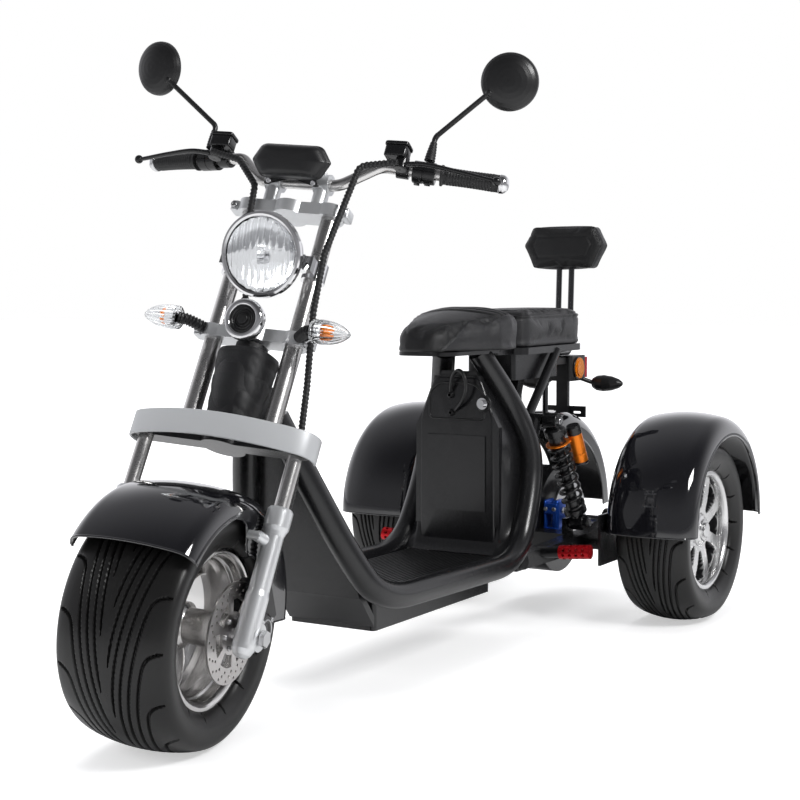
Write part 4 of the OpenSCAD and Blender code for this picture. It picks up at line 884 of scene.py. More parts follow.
# the horn's rippled dish, from its rim in to its middle
DISH_OUT, DISH_IN, DISH_PITCH = 27, 9, 5.2
ripple = np.linspace(0, 1, 90)
dish_r = DISH_OUT * (1 - ripple) + DISH_IN * ripple
dish_z = 26.6 - 3.2 * ripple + 0.9 * np.cos(2 * np.pi * (DISH_OUT - dish_r) / DISH_PITCH)
piece("horn_dish", [lathe(np.stack([dish_r, dish_z], 1), 96, closed=False),
                    lathe(smooth([(10, 22), (9.6, 27.6), (7, 29), (0, 29.4)], 20), 64, closed=False)],
      HORN, PLASTIC, "steering")

# front signals: profiles of lens, bulb and dish as radius and along, and the left stalk's path
SIGNAL_TIP = [(17, -27), (21.5, -26), (22.3, -18), (22.3, -6), (21.4, 6), (19, 18), (15, 29), (9.5, 38), (4, 44.2),
              (0, 46)]
SIGNAL_BULB = [(0, -22), (7, -22), (7, -14), (9.5, -8), (10.5, -1), (9, 6), (5, 11), (0, 13)]
SIGNAL_DISH = [(0, -22.5), (7, -22.4), (13, -20), (17.4, -13), (18.2, -6), (18.6, -6), (17.8, -14), (13.2, -21.5),
               (0, -24)]
SIGNAL_X, SIGNAL_Y, SIGNAL_S = 50, 162, MID_YOKE + 16
STALK = [(20.5, 97.5, SIGNAL_S - 2), (34, 109, SIGNAL_S - 1), (46, 122, SIGNAL_S), (SIGNAL_X, 136, SIGNAL_S)]


def fluted_tip(profile):
    """A pointed lens: its outside is turned, and its inside, a wall further in, carries flutes along its length, so
    its radius swings with the angle."""
    outer = smooth(profile, 44)
    a = np.linspace(0, 2 * np.pi, 96, endpoint=False)[:, None]
    inner = outer[::-1] * (0.88, 0.93) + (0, 0.8)
    flutes = inner[None, :, 0] * (1 + 0.05 * np.cos(16 * a))
    r = np.concatenate([np.repeat(outer[None, :, 0], 96, 0), flutes], 1)
    z = np.concatenate([outer[:, 1], inner[:, 1]])[None] + 0 * a
    return skin(np.stack([r * np.cos(a), r * np.sin(a), z], -1), wrap_u=True, wrap_v=True)


def ribbed_stalk(k):
    """A rubber stalk: round rings along a short curve."""
    ring = 10.4 + 1.1 * np.sin(np.linspace(0, 9 * 2 * np.pi, 90))
    return tube(flipped(smooth(STALK, 90), k), ring, 28)


for k, side in SIDES:
    place = FORK.aimed((SIGNAL_X, k * SIGNAL_Y, SIGNAL_S), (0, k, 0), (1, 0, 0))
    bulb = lathe(smooth(SIGNAL_BULB, 36), 48, closed=False)
    piece(side + "_signal_lens", [fluted_tip(SIGNAL_TIP)], place, CLEAR, "steering", ["signal_lenses"])
    piece(side + "_signal_bulb", [bulb], place, ORANGE_BULB, "steering")
    piece(side + "_signal_dish", [lathe(SIGNAL_DISH, 64, closed=False)], place, CHROME, "steering")
    piece(side + "_signal_stalk", [ribbed_stalk(k)], FORK, PLASTIC, "steering",
          ["signal_stalks"])


# Handlebar

BAR_S = TOP_YOKE + 74
BAR_BEND, BAR_END = np.array([-20.0, 146, BAR_S + 58]), np.array([-74.0, 366, BAR_S + 67])
BAR_DIR = unit(BAR_END - BAR_BEND)


# places on the bar, counted in from its outer end
GRIP_LONG = 112
MIRROR_BACK, HOUSING_BACK, PERCH_BACK, TANK_BACK = 138, 165, 176, 188


def on_bar(back):
    """A point on the left bar's axis, this far in from its outer end."""
    return BAR_END - BAR_DIR * back


# a grip from its inner flange to its end: along, radius
along = np.linspace(0, GRIP_LONG, 340)
waist = 15.6 + 1.2 * ((along - GRIP_LONG / 2) / (GRIP_LONG / 2)) ** 2
rings = 0.75 * np.abs(np.sin(along * np.pi / 5.6)) ** 0.5
rings = rings * steps_smooth((along - 9) / 3) * steps_smooth((104 - along) / 3)
flange = 3.4 * (1 - steps_smooth((along - 3) / 3.5))
grip = np.stack([waist + rings + flange, along], 1)
grip = np.concatenate([[(11.5, 0)], grip, [(11.5, GRIP_LONG)]])
cap = [(11.4, 110.5), (17.4, 111), (17.6, 116), (17.0, 120), (13.5, 125), (7.5, 128.5), (0, 129.6)]
for k, side in SIDES:
    place = FORK.aimed(flipped(on_bar(GRIP_LONG), k), flipped(BAR_DIR, k), (1, 0, 0))
    piece(side + "_grip", [lathe(grip, 72)], place, GRIP, "steering", ["grips"])
    piece(side + "_grip_cap", [lathe(smooth(cap, 40), 64, closed=False)], place, CHROME, "steering")

# corrugated sleeves over both brake hoses, on the hoses' own points
perch = on_bar(PERCH_BACK)
LEFT_HOSE = [perch + (51, 0, -12), perch + (60, -70, -30), (44, 112, MID_YOKE + 170), (36, 118, MID_YOKE + 60),
             (-20, 118, MID_YOKE - 60), (-34, 140, LOW_YOKE - 40), (-34, 142, 170), (-50, 138, 112)]
RIGHT_HOSE = [flipped(perch + (51, 0, -12), -1), (28, -125, BAR_S + 28), (36, -72, BAR_S - 28),
              (36, -64, TOP_YOKE - 20), (-16, -52, LAMP_S + 42), (-16, -52, MID_YOKE + 60),
              (-12, -52, MID_YOKE + 24.3)]
piece("wrapped_hoses", [sleeve(LEFT_HOSE, 6.0), sleeve(RIGHT_HOSE, 6.0)], FORK, GRIP, "steering",
      ["brake_hoses"])


# Shocks

SHOCK_TOP, SHOCK_LOW = np.array([268.0, 150, 484]), np.array([174.0, 174, TYRE_R + 23])


def along_shock(k, parts, shift=(0, 0, 0)):
    """Surfaces set along one shock's axis, or along a line set off from it, with z from its lower end up."""
    low, top = flipped(SHOCK_LOW + shift, k), flipped(SHOCK_TOP + shift, k)
    z = unit(top - low)
    y = unit(np.cross(z, (1, 0, 0)))
    return [turned(part, (np.cross(y, z), y, z), low) for part in parts]


def helix_tube(path, radius, sides=12):
    """A round wire along a coil: its section lies across the path, outward from the coil's axis."""
    t = unit(np.gradient(path, axis=0))
    out = unit(path * (1, 1, 0))
    e = unit(out - t * np.sum(out * t, 1, keepdims=True))
    return swept(path, e, np.cross(t, e), radius, sides)


def shock(k):
    """One shock along its own axis: damper and seats turned about it, a coil that is a circle carried round and up,
    and an eye across each end."""
    body = [(13, 12), (13, 24), (27, 26), (27, 38), (19, 40), (19, 60), (12, 62), (12, 190), (19.5, 194),
            (19.5, 224), (25, 226), (25, 243), (17, 248), (13, 252)]
    turns = np.linspace(0, 7.2 * 2 * np.pi, 360)
    coil = np.stack([23 * np.cos(turns), 23 * np.sin(turns), 42 + 158 * turns / turns[-1]], 1)
    eye = lathe([(8.8, -17), (18, -17), (19, -16), (19, 16), (18, 17), (8.8, 17)], 48, along="y")
    parts = [lathe(rounded(body, 1.0, 3), 56, closed=False), helix_tube(coil, 4.0)]
    return along_shock(k, parts) + [moved(eye, flipped(p, k)) for p in (SHOCK_LOW, SHOCK_TOP)]


piece("coil_shocks", shock(1) + shock(-1), CHASSIS, SATIN, "frame", ["shocks"])


# Soft goods

def coords(mesh):
    """A mesh's points in metres, one row each."""
    flat = np.empty(len(mesh.vertices) * 3)
    mesh.vertices.foreach_get("co", flat)
    return flat.reshape(-1, 3)


def applied(obj):
    """A new mesh with the object's modifiers applied."""
    graph = bpy.context.evaluated_depsgraph_get()
    return bpy.data.meshes.new_from_object(obj.evaluated_get(graph), depsgraph=graph)


def cushion(outline, height, edge, crown, bulge=0.0, count=180):
    """A cushion before it is filled. Round its outline from above runs a line: out along the base, up the side,
    over a quarter round and in over the top, which rises by the crown towards the middle. height gives the height
    of the top's edge from the place along the outline's first coordinate."""
    o = np.asarray(outline, float)
    o = even(np.concatenate([o, o[:1]]), count + 1)[:-1]
    middle = o.mean(0)
    reach = np.linalg.norm(o - middle, axis=1)[:, None]
    out = (o - middle) / reach
    share, up = np.linspace(0, 1, 12)[None], np.linspace(0, 1, 9)[None]
    bend = np.linspace(0, np.pi / 2, 9)[None]
    r = np.concatenate([share[:, :-1] * (reach - 4), reach - 4 * (1 - up) ** 2 + bulge * np.sin(np.pi * up),
                        reach - edge * (1 - np.cos(bend)), (reach - edge) * share[:, -2::-1]], 1)
    xy = middle + r[..., None] * out[:, None]
    top = height(xy[..., 0])
    z = np.concatenate([np.zeros((count, 11)), up * (top[:, 11:20] - edge),
                        top[:, 20:29] - edge * (1 - np.sin(bend)),
                        top[:, 29:] + crown * (1 - share[:, -2::-1] ** 2)], 1)
    return skin(np.concatenate([xy, z[..., None]], 2), wrap_u=True)


# the filling: size of the net in metres, pressure and number of steps
NET_SIZE, PRESSURE, CLOTH_STEPS = 0.005, 4, 20


def settle(mesh, cap, hold):
    """The cover of a filled cushion: the closed form becomes an even net, is blown up as weightless cloth, and
    each point keeps its move up to the cap and as far as hold allows; then it is divided once."""
    obj = bpy.data.objects.new("filling", mesh)
    scene.collection.objects.link(obj)
    net = obj.modifiers.new("net", "REMESH")
    net.mode, net.voxel_size = "VOXEL", NET_SIZE
    obj.data = applied(obj)
    obj.modifiers.clear()
    start = coords(obj.data)
    cloth = obj.modifiers.new("cloth", "CLOTH")
    cloth.settings.use_pressure = True
    cloth.settings.uniform_pressure_force = PRESSURE
    cloth.settings.effector_weights.gravity = 0
    cloth.point_cache.frame_start, cloth.point_cache.frame_end = 1, CLOTH_STEPS
    for step in range(1, CLOTH_STEPS + 1):
        scene.frame_set(step)
    way = coords(applied(obj)) - start
    far = np.linalg.norm(way, axis=1)
    way *= (np.minimum(1, cap * MM / far.clip(1e-9)) * hold(start))[:, None]
    obj.data.vertices.foreach_set("co", (start + way).ravel())
    obj.modifiers.clear()
    scene.frame_set(1)
    fine = obj.modifiers.new("fine", "SUBSURF")
    fine.levels = fine.render_levels = 1
    made = applied(obj)
    bpy.data.objects.remove(obj)
    return made


def padding(name, part, place, cap, shape, node):
    """A cushion in place of its solid: filled, then its seams and ribs pressed in along the points' own normals by
    the millimetres that shape gives; shape also gives the mask that tells side panels from the top. The filling
    moves nothing within 3 mm of the base and everything from 17 mm up."""
    def hold(points):
        return np.clip(((points - place.origin) / MM @ place.axes[2] - 3) / 14, 0, 1)

    mesh = settle(mesh_of(name, [part], place), cap, hold)
    normals = np.empty(len(mesh.vertices) * 3)
    mesh.vertices.foreach_get("normal", normals)
    normals = normals.reshape(-1, 3)
    points = coords(mesh)
    rise, mask = shape((points - place.origin) / MM @ place.axes.T, normals @ place.axes.T)
    mesh.vertices.foreach_set("co", (points + MM * rise[:, None] * normals).ravel())
    set_mask(mesh, mask)
    mesh.update()
    obj = show(name, mesh, SEAT, "frame", [node], 180)


def inside(points, outline):
    """Distance of each point from an outline, by its nearest sampled point."""
    o = np.asarray(outline, float)
    best = np.full(len(points), 1e9)
    for q in even(np.concatenate([o, o[:1]]), 240):
        best = np.minimum(best, np.sum((points - q) ** 2, 1))
    return np.sqrt(best)


def mirrored(half):
    """A whole outline from its left half."""
    half = np.asarray(half, float)
    return np.concatenate([half, half[::-1] * (1, -1)])


def drawn_in(outline, middle):
    """An outline brought in a little towards its middle, since the filling swells."""
    return outline + (np.array(middle) - outline) * 0.03


# the rider's seat: half width and height over the pan along its length, and the ribs across its back
SEAT_HALF = [(322, 60), (332, 90), (360, 114), (405, 126), (455, 126), (510, 106), (560, 82), (608, 62), (632, 44),
             (642, 24)]
SEAT_TOP = [(322, 82), (345, 94), (400, 94), (480, 82), (560, 72), (628, 62), (643, 48)]
SEAT_SWELL = 17
RIB_FROM, RIB_PITCH, RIBS = 344, 21, 6


def seat_height(x):
    """Height of the seat's edge before it is filled: the line of its top less what the filling adds."""
    return np.interp(x, *np.transpose(SEAT_TOP)) - SEAT_SWELL


def seat_shape(p, n):
    """Rider's seat: a sewn line up each side that parts the nose from the side panel, a line inside the top's edge,
    and ribs across the back of the top."""
    x, y, z = p.T
    half = np.interp(x, *np.transpose(SEAT_HALF))
    top = np.clip((n[:, 2] - 0.55) * 6, 0, 1)
    side = 1 - top
    nose = x - (616 - 1.15 * z - 0.004 * z ** 2)
    rise = -side * 2.2 * line(nose, 2.2) + side * 1.2 * line(nose + 6, 4)
    arc = x + 0.0022 * y ** 2
    within = np.clip((half - 20 - np.abs(y)) / 6, 0, 1)
    number = np.round((arc - RIB_FROM) / RIB_PITCH)
    ribbed = (number >= 0) & (number <= RIBS)
    rise -= top * within * ribbed * 3.2 * line(arc - RIB_FROM - number * RIB_PITCH, 4.2)
    rise += top * within * ((arc > RIB_FROM) & (arc < RIB_FROM + RIBS * RIB_PITCH)) * 1.5
    rise -= top * (x > 340) * 1.8 * line(half - 24 - np.abs(y), 2.6)
    return rise, side * np.clip(-nose / 3, 0, 1) * (z > 4)


SEATS = CHASSIS.at((0, 0, PAN_Z + 0.6))
form = cushion(drawn_in(mirrored(SEAT_HALF), (460, 0)), seat_height, 26, 15)
padding("rider_seat", form, SEATS, 7, seat_shape, "front_seat")

PILLION = mirrored([(300, 68), (292, 84), (274, 92), (-48, 72), (-76, 62), (-92, 36)])
PILLION_PIPING = 71


def pillion_shape(p, n):
    """Rear seat: piping where the top meets the side, a sewn line inside the top's edge and a flange at the
    base."""
    z, up = p[:, 2], n[:, 2]
    gap = z - PILLION_PIPING
    side = np.clip((0.85 - up) * 5, 0, 1)
    rise = side * (2.0 * line(gap, 2.4) - 1.8 * line(gap - 5.5, 2.4) - 1.8 * line(gap + 5.5, 2.4))
    rise += side * 2.2 * line(z - 8, 5)
    rise -= np.clip((up - 0.7) * 6, 0, 1) * 2.4 * line(inside(p[:, :2], PILLION) - 34, 3)
    return rise, np.clip(-gap / 3 - 1, 0, 1)


form = cushion(drawn_in(PILLION, (104, 0)), lambda x: np.full_like(x, 80.0), 16, 4)
padding("pillion_seat", form, SEATS, 6, pillion_shape, "rear_seat")

LEAN = math.atan2(12, 240.2)
PAD_AXES = ((0, 1, 0), (-math.sin(LEAN), 0, math.cos(LEAN)), (math.cos(LEAN), 0, math.sin(LEAN)))
PAD = CHASSIS.at((-120, 0, 868), PAD_AXES).at((0, 0, -24))
PAD_OUTLINE = mirrored([(-30, 83), (29.4, 113), (78, 87)])[:, ::-1]
PANEL_IN = 27


def pad_shape(p, n):
    """Backrest: an inset front panel with a sewn line round it, and piping along the front and back edges."""
    z, up = p[:, 2], n[:, 2]
    front = np.clip((up - 0.5) * 5, 0, 1)
    away = inside(p[:, :2], PAD_OUTLINE) - PANEL_IN
    rise = -front * 2.8 * line(away, 3.0) - front * 1.2 * np.clip(away / 4, 0, 1)
    side = np.clip((0.7 - np.abs(up)) * 5, 0, 1)
    rise += side * (1.8 * line(z - 43, 2.6) - 1.4 * line(z - 37, 2.4) + 1.6 * line(z - 9, 2.6))
    return rise, np.clip((40 - z) / 4, 0, 1)


form = cushion(PAD_OUTLINE * 0.965 + (0, 0.8), lambda x: np.full_like(x, 49.0), 12, 3)
padding("backrest_cushion", form, PAD, 6, pad_shape, "backrest_pad")


# Details of the front end

BAR_PATH = [BAR_END, BAR_BEND, (0, 81, BAR_S), (0, -81, BAR_S), flipped(BAR_BEND, -1), flipped(BAR_END, -1)]
piece("bent_bar", [sleeve(BAR_PATH, 11, swell=0.0, sides=24, bend=40)], FORK, TUBES, "steering",
      ["handlebar"])
TANK_AT = on_bar(TANK_BACK) + (36, 0, 2)


def switch_gear(k):
    """One side's housings, each turned about the bar: the switches with their split line and keys, and the clamp."""
    axes = axes_along(flipped(BAR_DIR, k), (1, 0, 0))
    house = [(11.8, 0), (19.5, 0), (21, 1.6), (21, 19), (20, 19.6), (20, 21.4), (21, 22), (21, 41.4), (19.5, 43),
             (11.8, 43)]
    clamp = [(11.8, -31), (16, -31), (17, -30), (17, -8), (16, -7), (11.8, -7)]
    keys = [rounded_box((-26, -7, 5), (-17, 7, 16), 3, 1), rounded_box((-25, -5, 25), (-17, 5, 36), 3, 1)]
    at = flipped(on_bar(HOUSING_BACK), k)
    return [turned(p, axes, at) for p in [lathe(house, 64), lathe(clamp, 64)] + keys]


def tank(k):
    """A fluid tank with its lid and sight glass, the arm that carries it and the lever's pivot under it."""
    sight = lathe([(0, 0), (7, 0), (7, 2.5), (5.5, 3), (0, 3)], 32, closed=False)
    parts = [rounded_box((-16, -22, 0), (16, 22, 23), 7, 3), rounded_box((-18, -24, 22.5), (18, 24, 29.5), 8, 2),
             turned(sight, ((0, 0, 1), (0, 1, 0), (-1, 0, 0)), (-15.5, 0, 11))]
    arm = tube([flipped(on_bar(184) + (4, 0, 6), k), flipped(on_bar(184) + (30, 0, 12), k)], 10.5, 20)
    boss = lathe(rounded([(0.1, 0), (13, 0), (13, 26), (0.1, 26)], 1.5, 4), 40)
    pivot = flipped(on_bar(PERCH_BACK) + (34, 0, -18), k)
    return [moved(p, flipped(TANK_AT, k)) for p in parts] + [arm, moved(boss, pivot)]


def lever(k):
    """A brake lever: a flattened oval section carried along a smooth curve that thins to a ball."""
    path = [on_bar(178) + (34, 0, -10), on_bar(150) + (49, 0, -11), on_bar(118) + (56, 0, -12),
            on_bar(60) + (56, 0, -17), on_bar(10) + (54, 0, -22), on_bar(-8) + (54, 0, -24)]
    path = flipped(smooth(path, 60), k)
    e, f = carried(path)
    a = np.linspace(0, 2 * np.pi, 18, endpoint=False)[None, :, None]
    t = np.linspace(0, 1, 60)[:, None, None]
    rows = path[:, None] + (6.2 - 2.2 * t) * np.cos(a) * e[:, None] + (5.0 - 1.2 * t) * np.sin(a) * f[:, None]
    ball = [(8.5 * math.sin(s), -8.5 * math.cos(s)) for s in np.linspace(0, math.pi, 17)]
    return [capped(rows, path[0], path[-1]),
            moved(lathe(ball, 32, closed=False), flipped(on_bar(-12) + (54, 0, -24), k))]


def boot(k):
    """A ribbed rubber boot on a mirror's stem: its radius shrinks with the way up and swings in small rings."""
    low = flipped(on_bar(MIRROR_BACK) + (5.7, 0, 21.1), k)
    top = flipped(on_bar(MIRROR_BACK) + (12, 2, 72), k)
    s = np.linspace(0, 1, 50)
    shape = np.stack([10.2 - 4.0 * s ** 1.4 + 0.35 * np.sin(s * 42), 2 + 38 * s], 1)
    shape = np.concatenate([[(5.1, 2)], shape, [(5.1, 40)]])
    return [turned(lathe(shape, 32), axes_along(top - low, (0, 1, 0)), low)]


piece("switch_gear", both(switch_gear) + both(tank) + both(lever), FORK, GEAR, "steering",
      ["controls"])
piece("mirror_boots", both(boot), FORK, GRIP, "steering")


def lid_screws(k):
    """Two screws on a tank's lid, at opposite corners."""
    return [bolt_head(flipped(TANK_AT, k) + (10 * j, 17 * j, 29.4), (0, 0, 1), 2.6, 2) for j in (-1, 1)]


# the dash: its half outline across and up its own face, and its bowl as scale and depth
POD_HALF = np.array([(50, -33), (62, -30), (79, -4), (81, 0), (79, 4), (64, 27), (54, 31)], float)
POD_BOWL = np.array([(0.0, 1.0), (0.90, 1.0), (0.93, 0.0), (0.985, -0.6), (1.0, -3), (1.0, -6), (0.975, -8),
                     (0.95, -9), (0.93, -14), (0.86, -21), (0.74, -26), (0.5, -28.5), (0.0, -29)])
TILT = math.radians(50) - RAKE
POD = FORK.at((52, 0, BAR_S + 17), ((0, 1, 0), (math.sin(TILT), 0, math.cos(TILT)),
                                    (math.cos(TILT), 0, -math.sin(TILT))))
pod_outline = rounded(np.concatenate([POD_HALF, POD_HALF[::-1] * (-1, 1)]), 6, 6)
deep = np.repeat(-POD_BOWL[:, 1, None, None], len(pod_outline), 1)
rows = np.concatenate([pod_outline[None] * POD_BOWL[:, :1, None], deep], 2)
bridge = [(-58, -6), (-44, 20), (-34, 27), (34, 27), (44, 20), (58, -6), (48, -8), (30, 3), (0, 8), (-30, 3),
          (-48, -8)]
BRIDGE_AXES = np.array([(0, 1, 0), (0.5, 0, 0.866), (0.866, 0, -0.5)])
BRIDGE_AT = np.array([34, 0, BAR_S - 16.0])
bridge = turned(slab(rounded(bridge, 5, 5), -2.2, 2.2, 1.0), BRIDGE_AXES, BRIDGE_AT)
bolts = np.array([(-26, 15, 2), (0, 19, 2), (26, 15, 2), (-46, 1, 2), (46, 1, 2)]) @ BRIDGE_AXES + BRIDGE_AT
piece("bridge_bolts", [bolt_head(p, BRIDGE_AXES[2], 5, 4) for p in bolts], FORK, CHROME, "steering")
piece("dash_pod", [skin(rows, wrap_v=True)], POD, PLASTIC, "steering", ["dash"], 50)
piece("dash_bridge", [bridge], FORK, SATIN, "steering")
piece("dash_glass", [slab(pod_outline * 0.86, -1.0, 0.2, 0.5)], POD, GLOSS, "steering")

# split clamp ears at both ends of two yokes: the yoke's height and the middle of its ear across
EARS = [(MID_YOKE, TUBE_Y + 30), (TOP_YOKE, TUBE_Y + 32)]


def clamp_ear(s, y):
    """The two ears of one yoke."""
    return both(lambda k: [rounded_box((-15, k * y - 8, s + 2), (15, k * y + 8, s + YOKE_THICK - 2), 5, 2)])


piece("yoke_ears", clamp_ear(*EARS[0]) + clamp_ear(*EARS[1]), FORK, CAST, "steering")

# bolts of the ears, the riser clamps, the stem's nut, the dash bracket and the caliper's bracket
fork_bolts = [bolt_head((15, k * y, s + YOKE_THICK / 2), (1, 0, 0), 6, 5) for k in (-1, 1) for s, y in EARS]
fork_bolts += [bolt_head((n, k * 50, BAR_S + 18.5 - abs(n) * 0.12), (n * 0.35, 0, 20), 4.5, 5)
               for k in (-1, 1) for n in (-9, 9)]
fork_bolts += [bolt_head((0, 0, TOP_YOKE + YOKE_THICK), (0, 0, 1), 15, 9)]
fork_bolts += [bolt_head((24, k * 18, BAR_S + 20), (0.866, 0, -0.5), 4.5, 4) for k in (-1, 1)]
fork_bolts += [bolt_head((-14, k * 158, s), (0, k, 0), 5, 4) for k in (-1, 1) for s in (24, -3)]
piece("fork_bolts", fork_bolts + both(lid_screws), FORK, STEEL, "steering")

# the front caliper's carrier, a drum along the axle with a web to the leg
DRUM_AXES, DRUM_AT = ((0, 0, 1), (1, 0, 0), (0, 1, 0)), (-54, 127, 24)
drum = rounded([(0.1, 0), (28, 0), (30, 3), (30, 20), (26, 24), (14, 24), (12, 22), (0.1, 22)], 1.2, 3)
web = turned(rounded_box((-46, -20, 131), (-20, 36, 147), 6, 2), ((1, 0, 0), (0, 0, 1), (0, 1, 0)))
piece("caliper_carrier", [turned(lathe(drum, 64), DRUM_AXES, DRUM_AT), web], FORK, SATIN, "steering")
ring = turned(torus(19, 1.5, 24.2), DRUM_AXES, DRUM_AT)
bolts = [bolt_head((-54 - 27 * 0.5, 146, 24 + 27 * s), (0, 1, 0), 4.5, 6) for s in (0.87, -0.87)]
piece("caliper_ring", [ring] + bolts, FORK, STEEL, "steering")


# Details of the frame

HALF_TRACK = JOINTS["rear_left_spin"]["pos_m"][1] / MM
GUARD_IN = HALF_TRACK - GUARD_HALF


def frame_bolts(k):
    """Bolts on the mudguard plates and on the shocks' eyes."""
    plate = [bolt_head((x, k * (GUARD_IN - 6.2), z), (0, -k, 0), 6.5, 5)
             for x in (148, 208) for z in (TYRE_R - 50, TYRE_R + 34)]
    eyes = [bolt_head(flipped(SHOCK_TOP + (0, 17, 0), k), (0, k, 0), 9, 7),
            bolt_head(flipped(SHOCK_LOW + (0, 25, 0), k), (0, k, 0), 9, 6)]
    return plate + eyes


piece("frame_bolts", both(frame_bolts), CHASSIS, STEEL, "frame")

# the shocks' reservoirs: an adjuster ring on the shock, a tank beside it with cap and foot, and the arm between
SHOCK_LEN = np.linalg.norm(SHOCK_TOP - SHOCK_LOW)
low, high = 0.776 * SHOCK_LEN, 0.790 * SHOCK_LEN
ring = rounded([(19.8, low), (28.4, low), (28.4, high), (19.8, high)], 1.5, 4)
low, high = 0.6 * SHOCK_LEN, 0.94 * SHOCK_LEN
tank_wall = rounded([(0.1, low), (16.5, low), (16.5, low + 22), (15.9, low + 23), (15.9, low + 25),
                     (16.5, low + 26), (16.5, high), (0.1, high)], 0.8, 3)
tank_cap = [(0.1, high - 16), (17.4, high - 16), (17.6, high - 14), (17.6, high + 2), (15, high + 5),
            (0.1, high + 5)]
tank_foot = [(0.1, low - 3), (15.5, low - 3), (17.3, low - 1), (17.3, low + 4), (0.1, low + 4)]
OFFSET = np.array([-42.0, 29, -2])
TANK_ARM = SHOCK_LOW + 0.805 * (SHOCK_TOP - SHOCK_LOW) + OFFSET * np.array([[0.3], [0.6], [0.95]])


def round_shock(profile, shift=(0, 0, 0)):
    """A shape turned about both shocks' axes, or about lines set off from them."""
    return both(lambda k: along_shock(k, [lathe(profile, 56)], shift))


piece("reservoirs", round_shock(ring) + round_shock(tank_wall, OFFSET)
      + both(lambda k: [tube(flipped(TANK_ARM, k), 5, 16)]), CHASSIS, ORANGE, "frame",
      ["shock_reservoirs"])
piece("reservoir_caps", round_shock(tank_cap, OFFSET) + round_shock(tank_foot, OFFSET), CHASSIS, SATIN, "frame")

# the cable that loops out of the battery case: ahead, across, up
LEAD = [(446, -14, 548), (458, -10, 566), (468, 0, 592), (472, 14, 606), (474, 27, 603), (474, 36, 584),
        (471, 35, 560), (464, 22, 536), (456, 4, 520), (446, -12, 510)]
piece("lead_loop", [tube(smooth(LEAD, 120), 4, 20)], CHASSIS, PLASTIC, "frame", ["battery_lead"])
# collars where it enters the case, a ring round the lock and a raised line round both
AHEAD_AXES = ((0, 1, 0), (0, 0, 1), (1, 0, 0))
collar = lathe([(3.6, 0), (8, 0), (8, 4), (6, 9), (3.6, 10)], 32)
collars = [turned(collar, AHEAD_AXES, (449, y, z)) for y, z in ((-14, 550), (-12, 510))]
collars += [turned(torus(16, 3, 1.0), AHEAD_AXES, (450, 70, 533))]
frame_line = rounded([(-70, 496), (72, 496), (72, 556), (40, 578), (-40, 578), (-70, 556)], 14, 6)
frame_line = np.concatenate([frame_line, frame_line[:2]])
collars += [tube(np.insert(frame_line, 0, 449.6, axis=1), 2.4, 12)]
piece("lead_collars", collars, CHASSIS, PLASTIC, "frame")
bezels = both(lambda k: [turned(torus(26, 2.4, 1.0), ((1, 0, 0), (0, 0, -k), (0, k, 0)), (-96, k * 46.3, 588))])
piece("reflector_bezels", bezels, CHASSIS, PLASTIC, "frame")


# Shells and covers

HEAD = Place(AXLE, (np.cross((0, 1, 0), UP), (0, 1, 0), UP))
# left frame tube: its corners from the neck to the seat, and how far the bend reaches before and after each
TUBE_ENDS = (HEAD([(-83, 31, 418), (-163, 66, 344)]) - CHASSIS.origin) / MM
TUBE_CORNERS = [(1078, 118, 288), (1018, 152, 194), (446, 152, 184), (362, 143, 330), (340, 134, 430),
                (360, 90, 532), (427, 45, 646)]
BEND_BEFORE = [45, 60, 58, 110, 84, 51, 56]
BEND_AFTER = [60, 58, 110, 84, 51, 56, 58]
FRAME_PATH = even(eased(np.concatenate([TUBE_ENDS, TUBE_CORNERS]), BEND_BEFORE, BEND_AFTER), 300)
for k, side in SIDES:
    piece("frame_tube_" + side, [tube(flipped(FRAME_PATH, k), 26, 40)], CHASSIS, SATIN, "frame",
          ["frame_" + side])
UPRIGHT = FRAME_PATH[(FRAME_PATH[:, 0] < 450) & (FRAME_PATH[:, 2] > 184.5)]
# the battery case's cover: where its front and its panel lie, its height, and the half width of its flat front
SHELL_X, PANEL_X = 440.5, 450
SHELL_LOW, SHELL_TOP = 197, 604
FLAT_LINE = [(196, 106), (256, 106), (440, 104), (480, 98), (540, 76), (593, 56), (606, 52)]


def case_shell():
    """The moulded cover round the battery case: a grid of height by place across. Its middle is flat just behind
    the case's face; beyond the flat it turns back in an S to the inner side of the frame tube. The front, the
    same sheet 3 mm further back, and the strips that close its low and top edges."""
    z = np.linspace(SHELL_LOW, SHELL_TOP, 70)[:, None]
    x_tube = np.interp(z, UPRIGHT[:, 2], UPRIGHT[:, 0]) + 8
    y_tube = np.interp(z, UPRIGHT[:, 2], UPRIGHT[:, 1]) - 10
    flat = np.minimum(np.interp(z, *np.transpose(FLAT_LINE)), y_tube - 8)
    v = np.linspace(-1, 1, 81)[None]
    share = np.clip((np.abs(v) - 0.5) / 0.5, 0, 1)
    y = np.sign(v) * np.where(np.abs(v) < 0.5, np.abs(v) * 2 * flat, flat + (y_tube - flat) * share)
    foot = 30 * np.exp(-(z - SHELL_LOW) / 22)
    x = SHELL_X + foot * (1 - share) - (SHELL_X - x_tube) * steps_smooth(share) ** 0.8
    front = np.stack(np.broadcast_arrays(x, y, z), -1)
    rear = front - (SHEET, 0, 0)
    return [skin(np.concatenate([front, rear[:, ::-1]], 1), wrap_v=True),
            skin(np.concatenate([front[:1], rear[:1]])), skin(np.concatenate([front[-1:], rear[-1:]]))]


piece("case_shell", case_shell(), CHASSIS, SATIN, "frame")
panel = rounded([(-203, -97), (-203, 97), (-500, 95), (-592, 58), (-592, -58), (-500, -95)], 16, 6)
piece("case_panel", [slab(panel, 0, PANEL_X - SHELL_X, 6, 6)], CHASSIS.aimed((SHELL_X, 0, 0), (1, 0, 0)), SATIN,
      "frame")

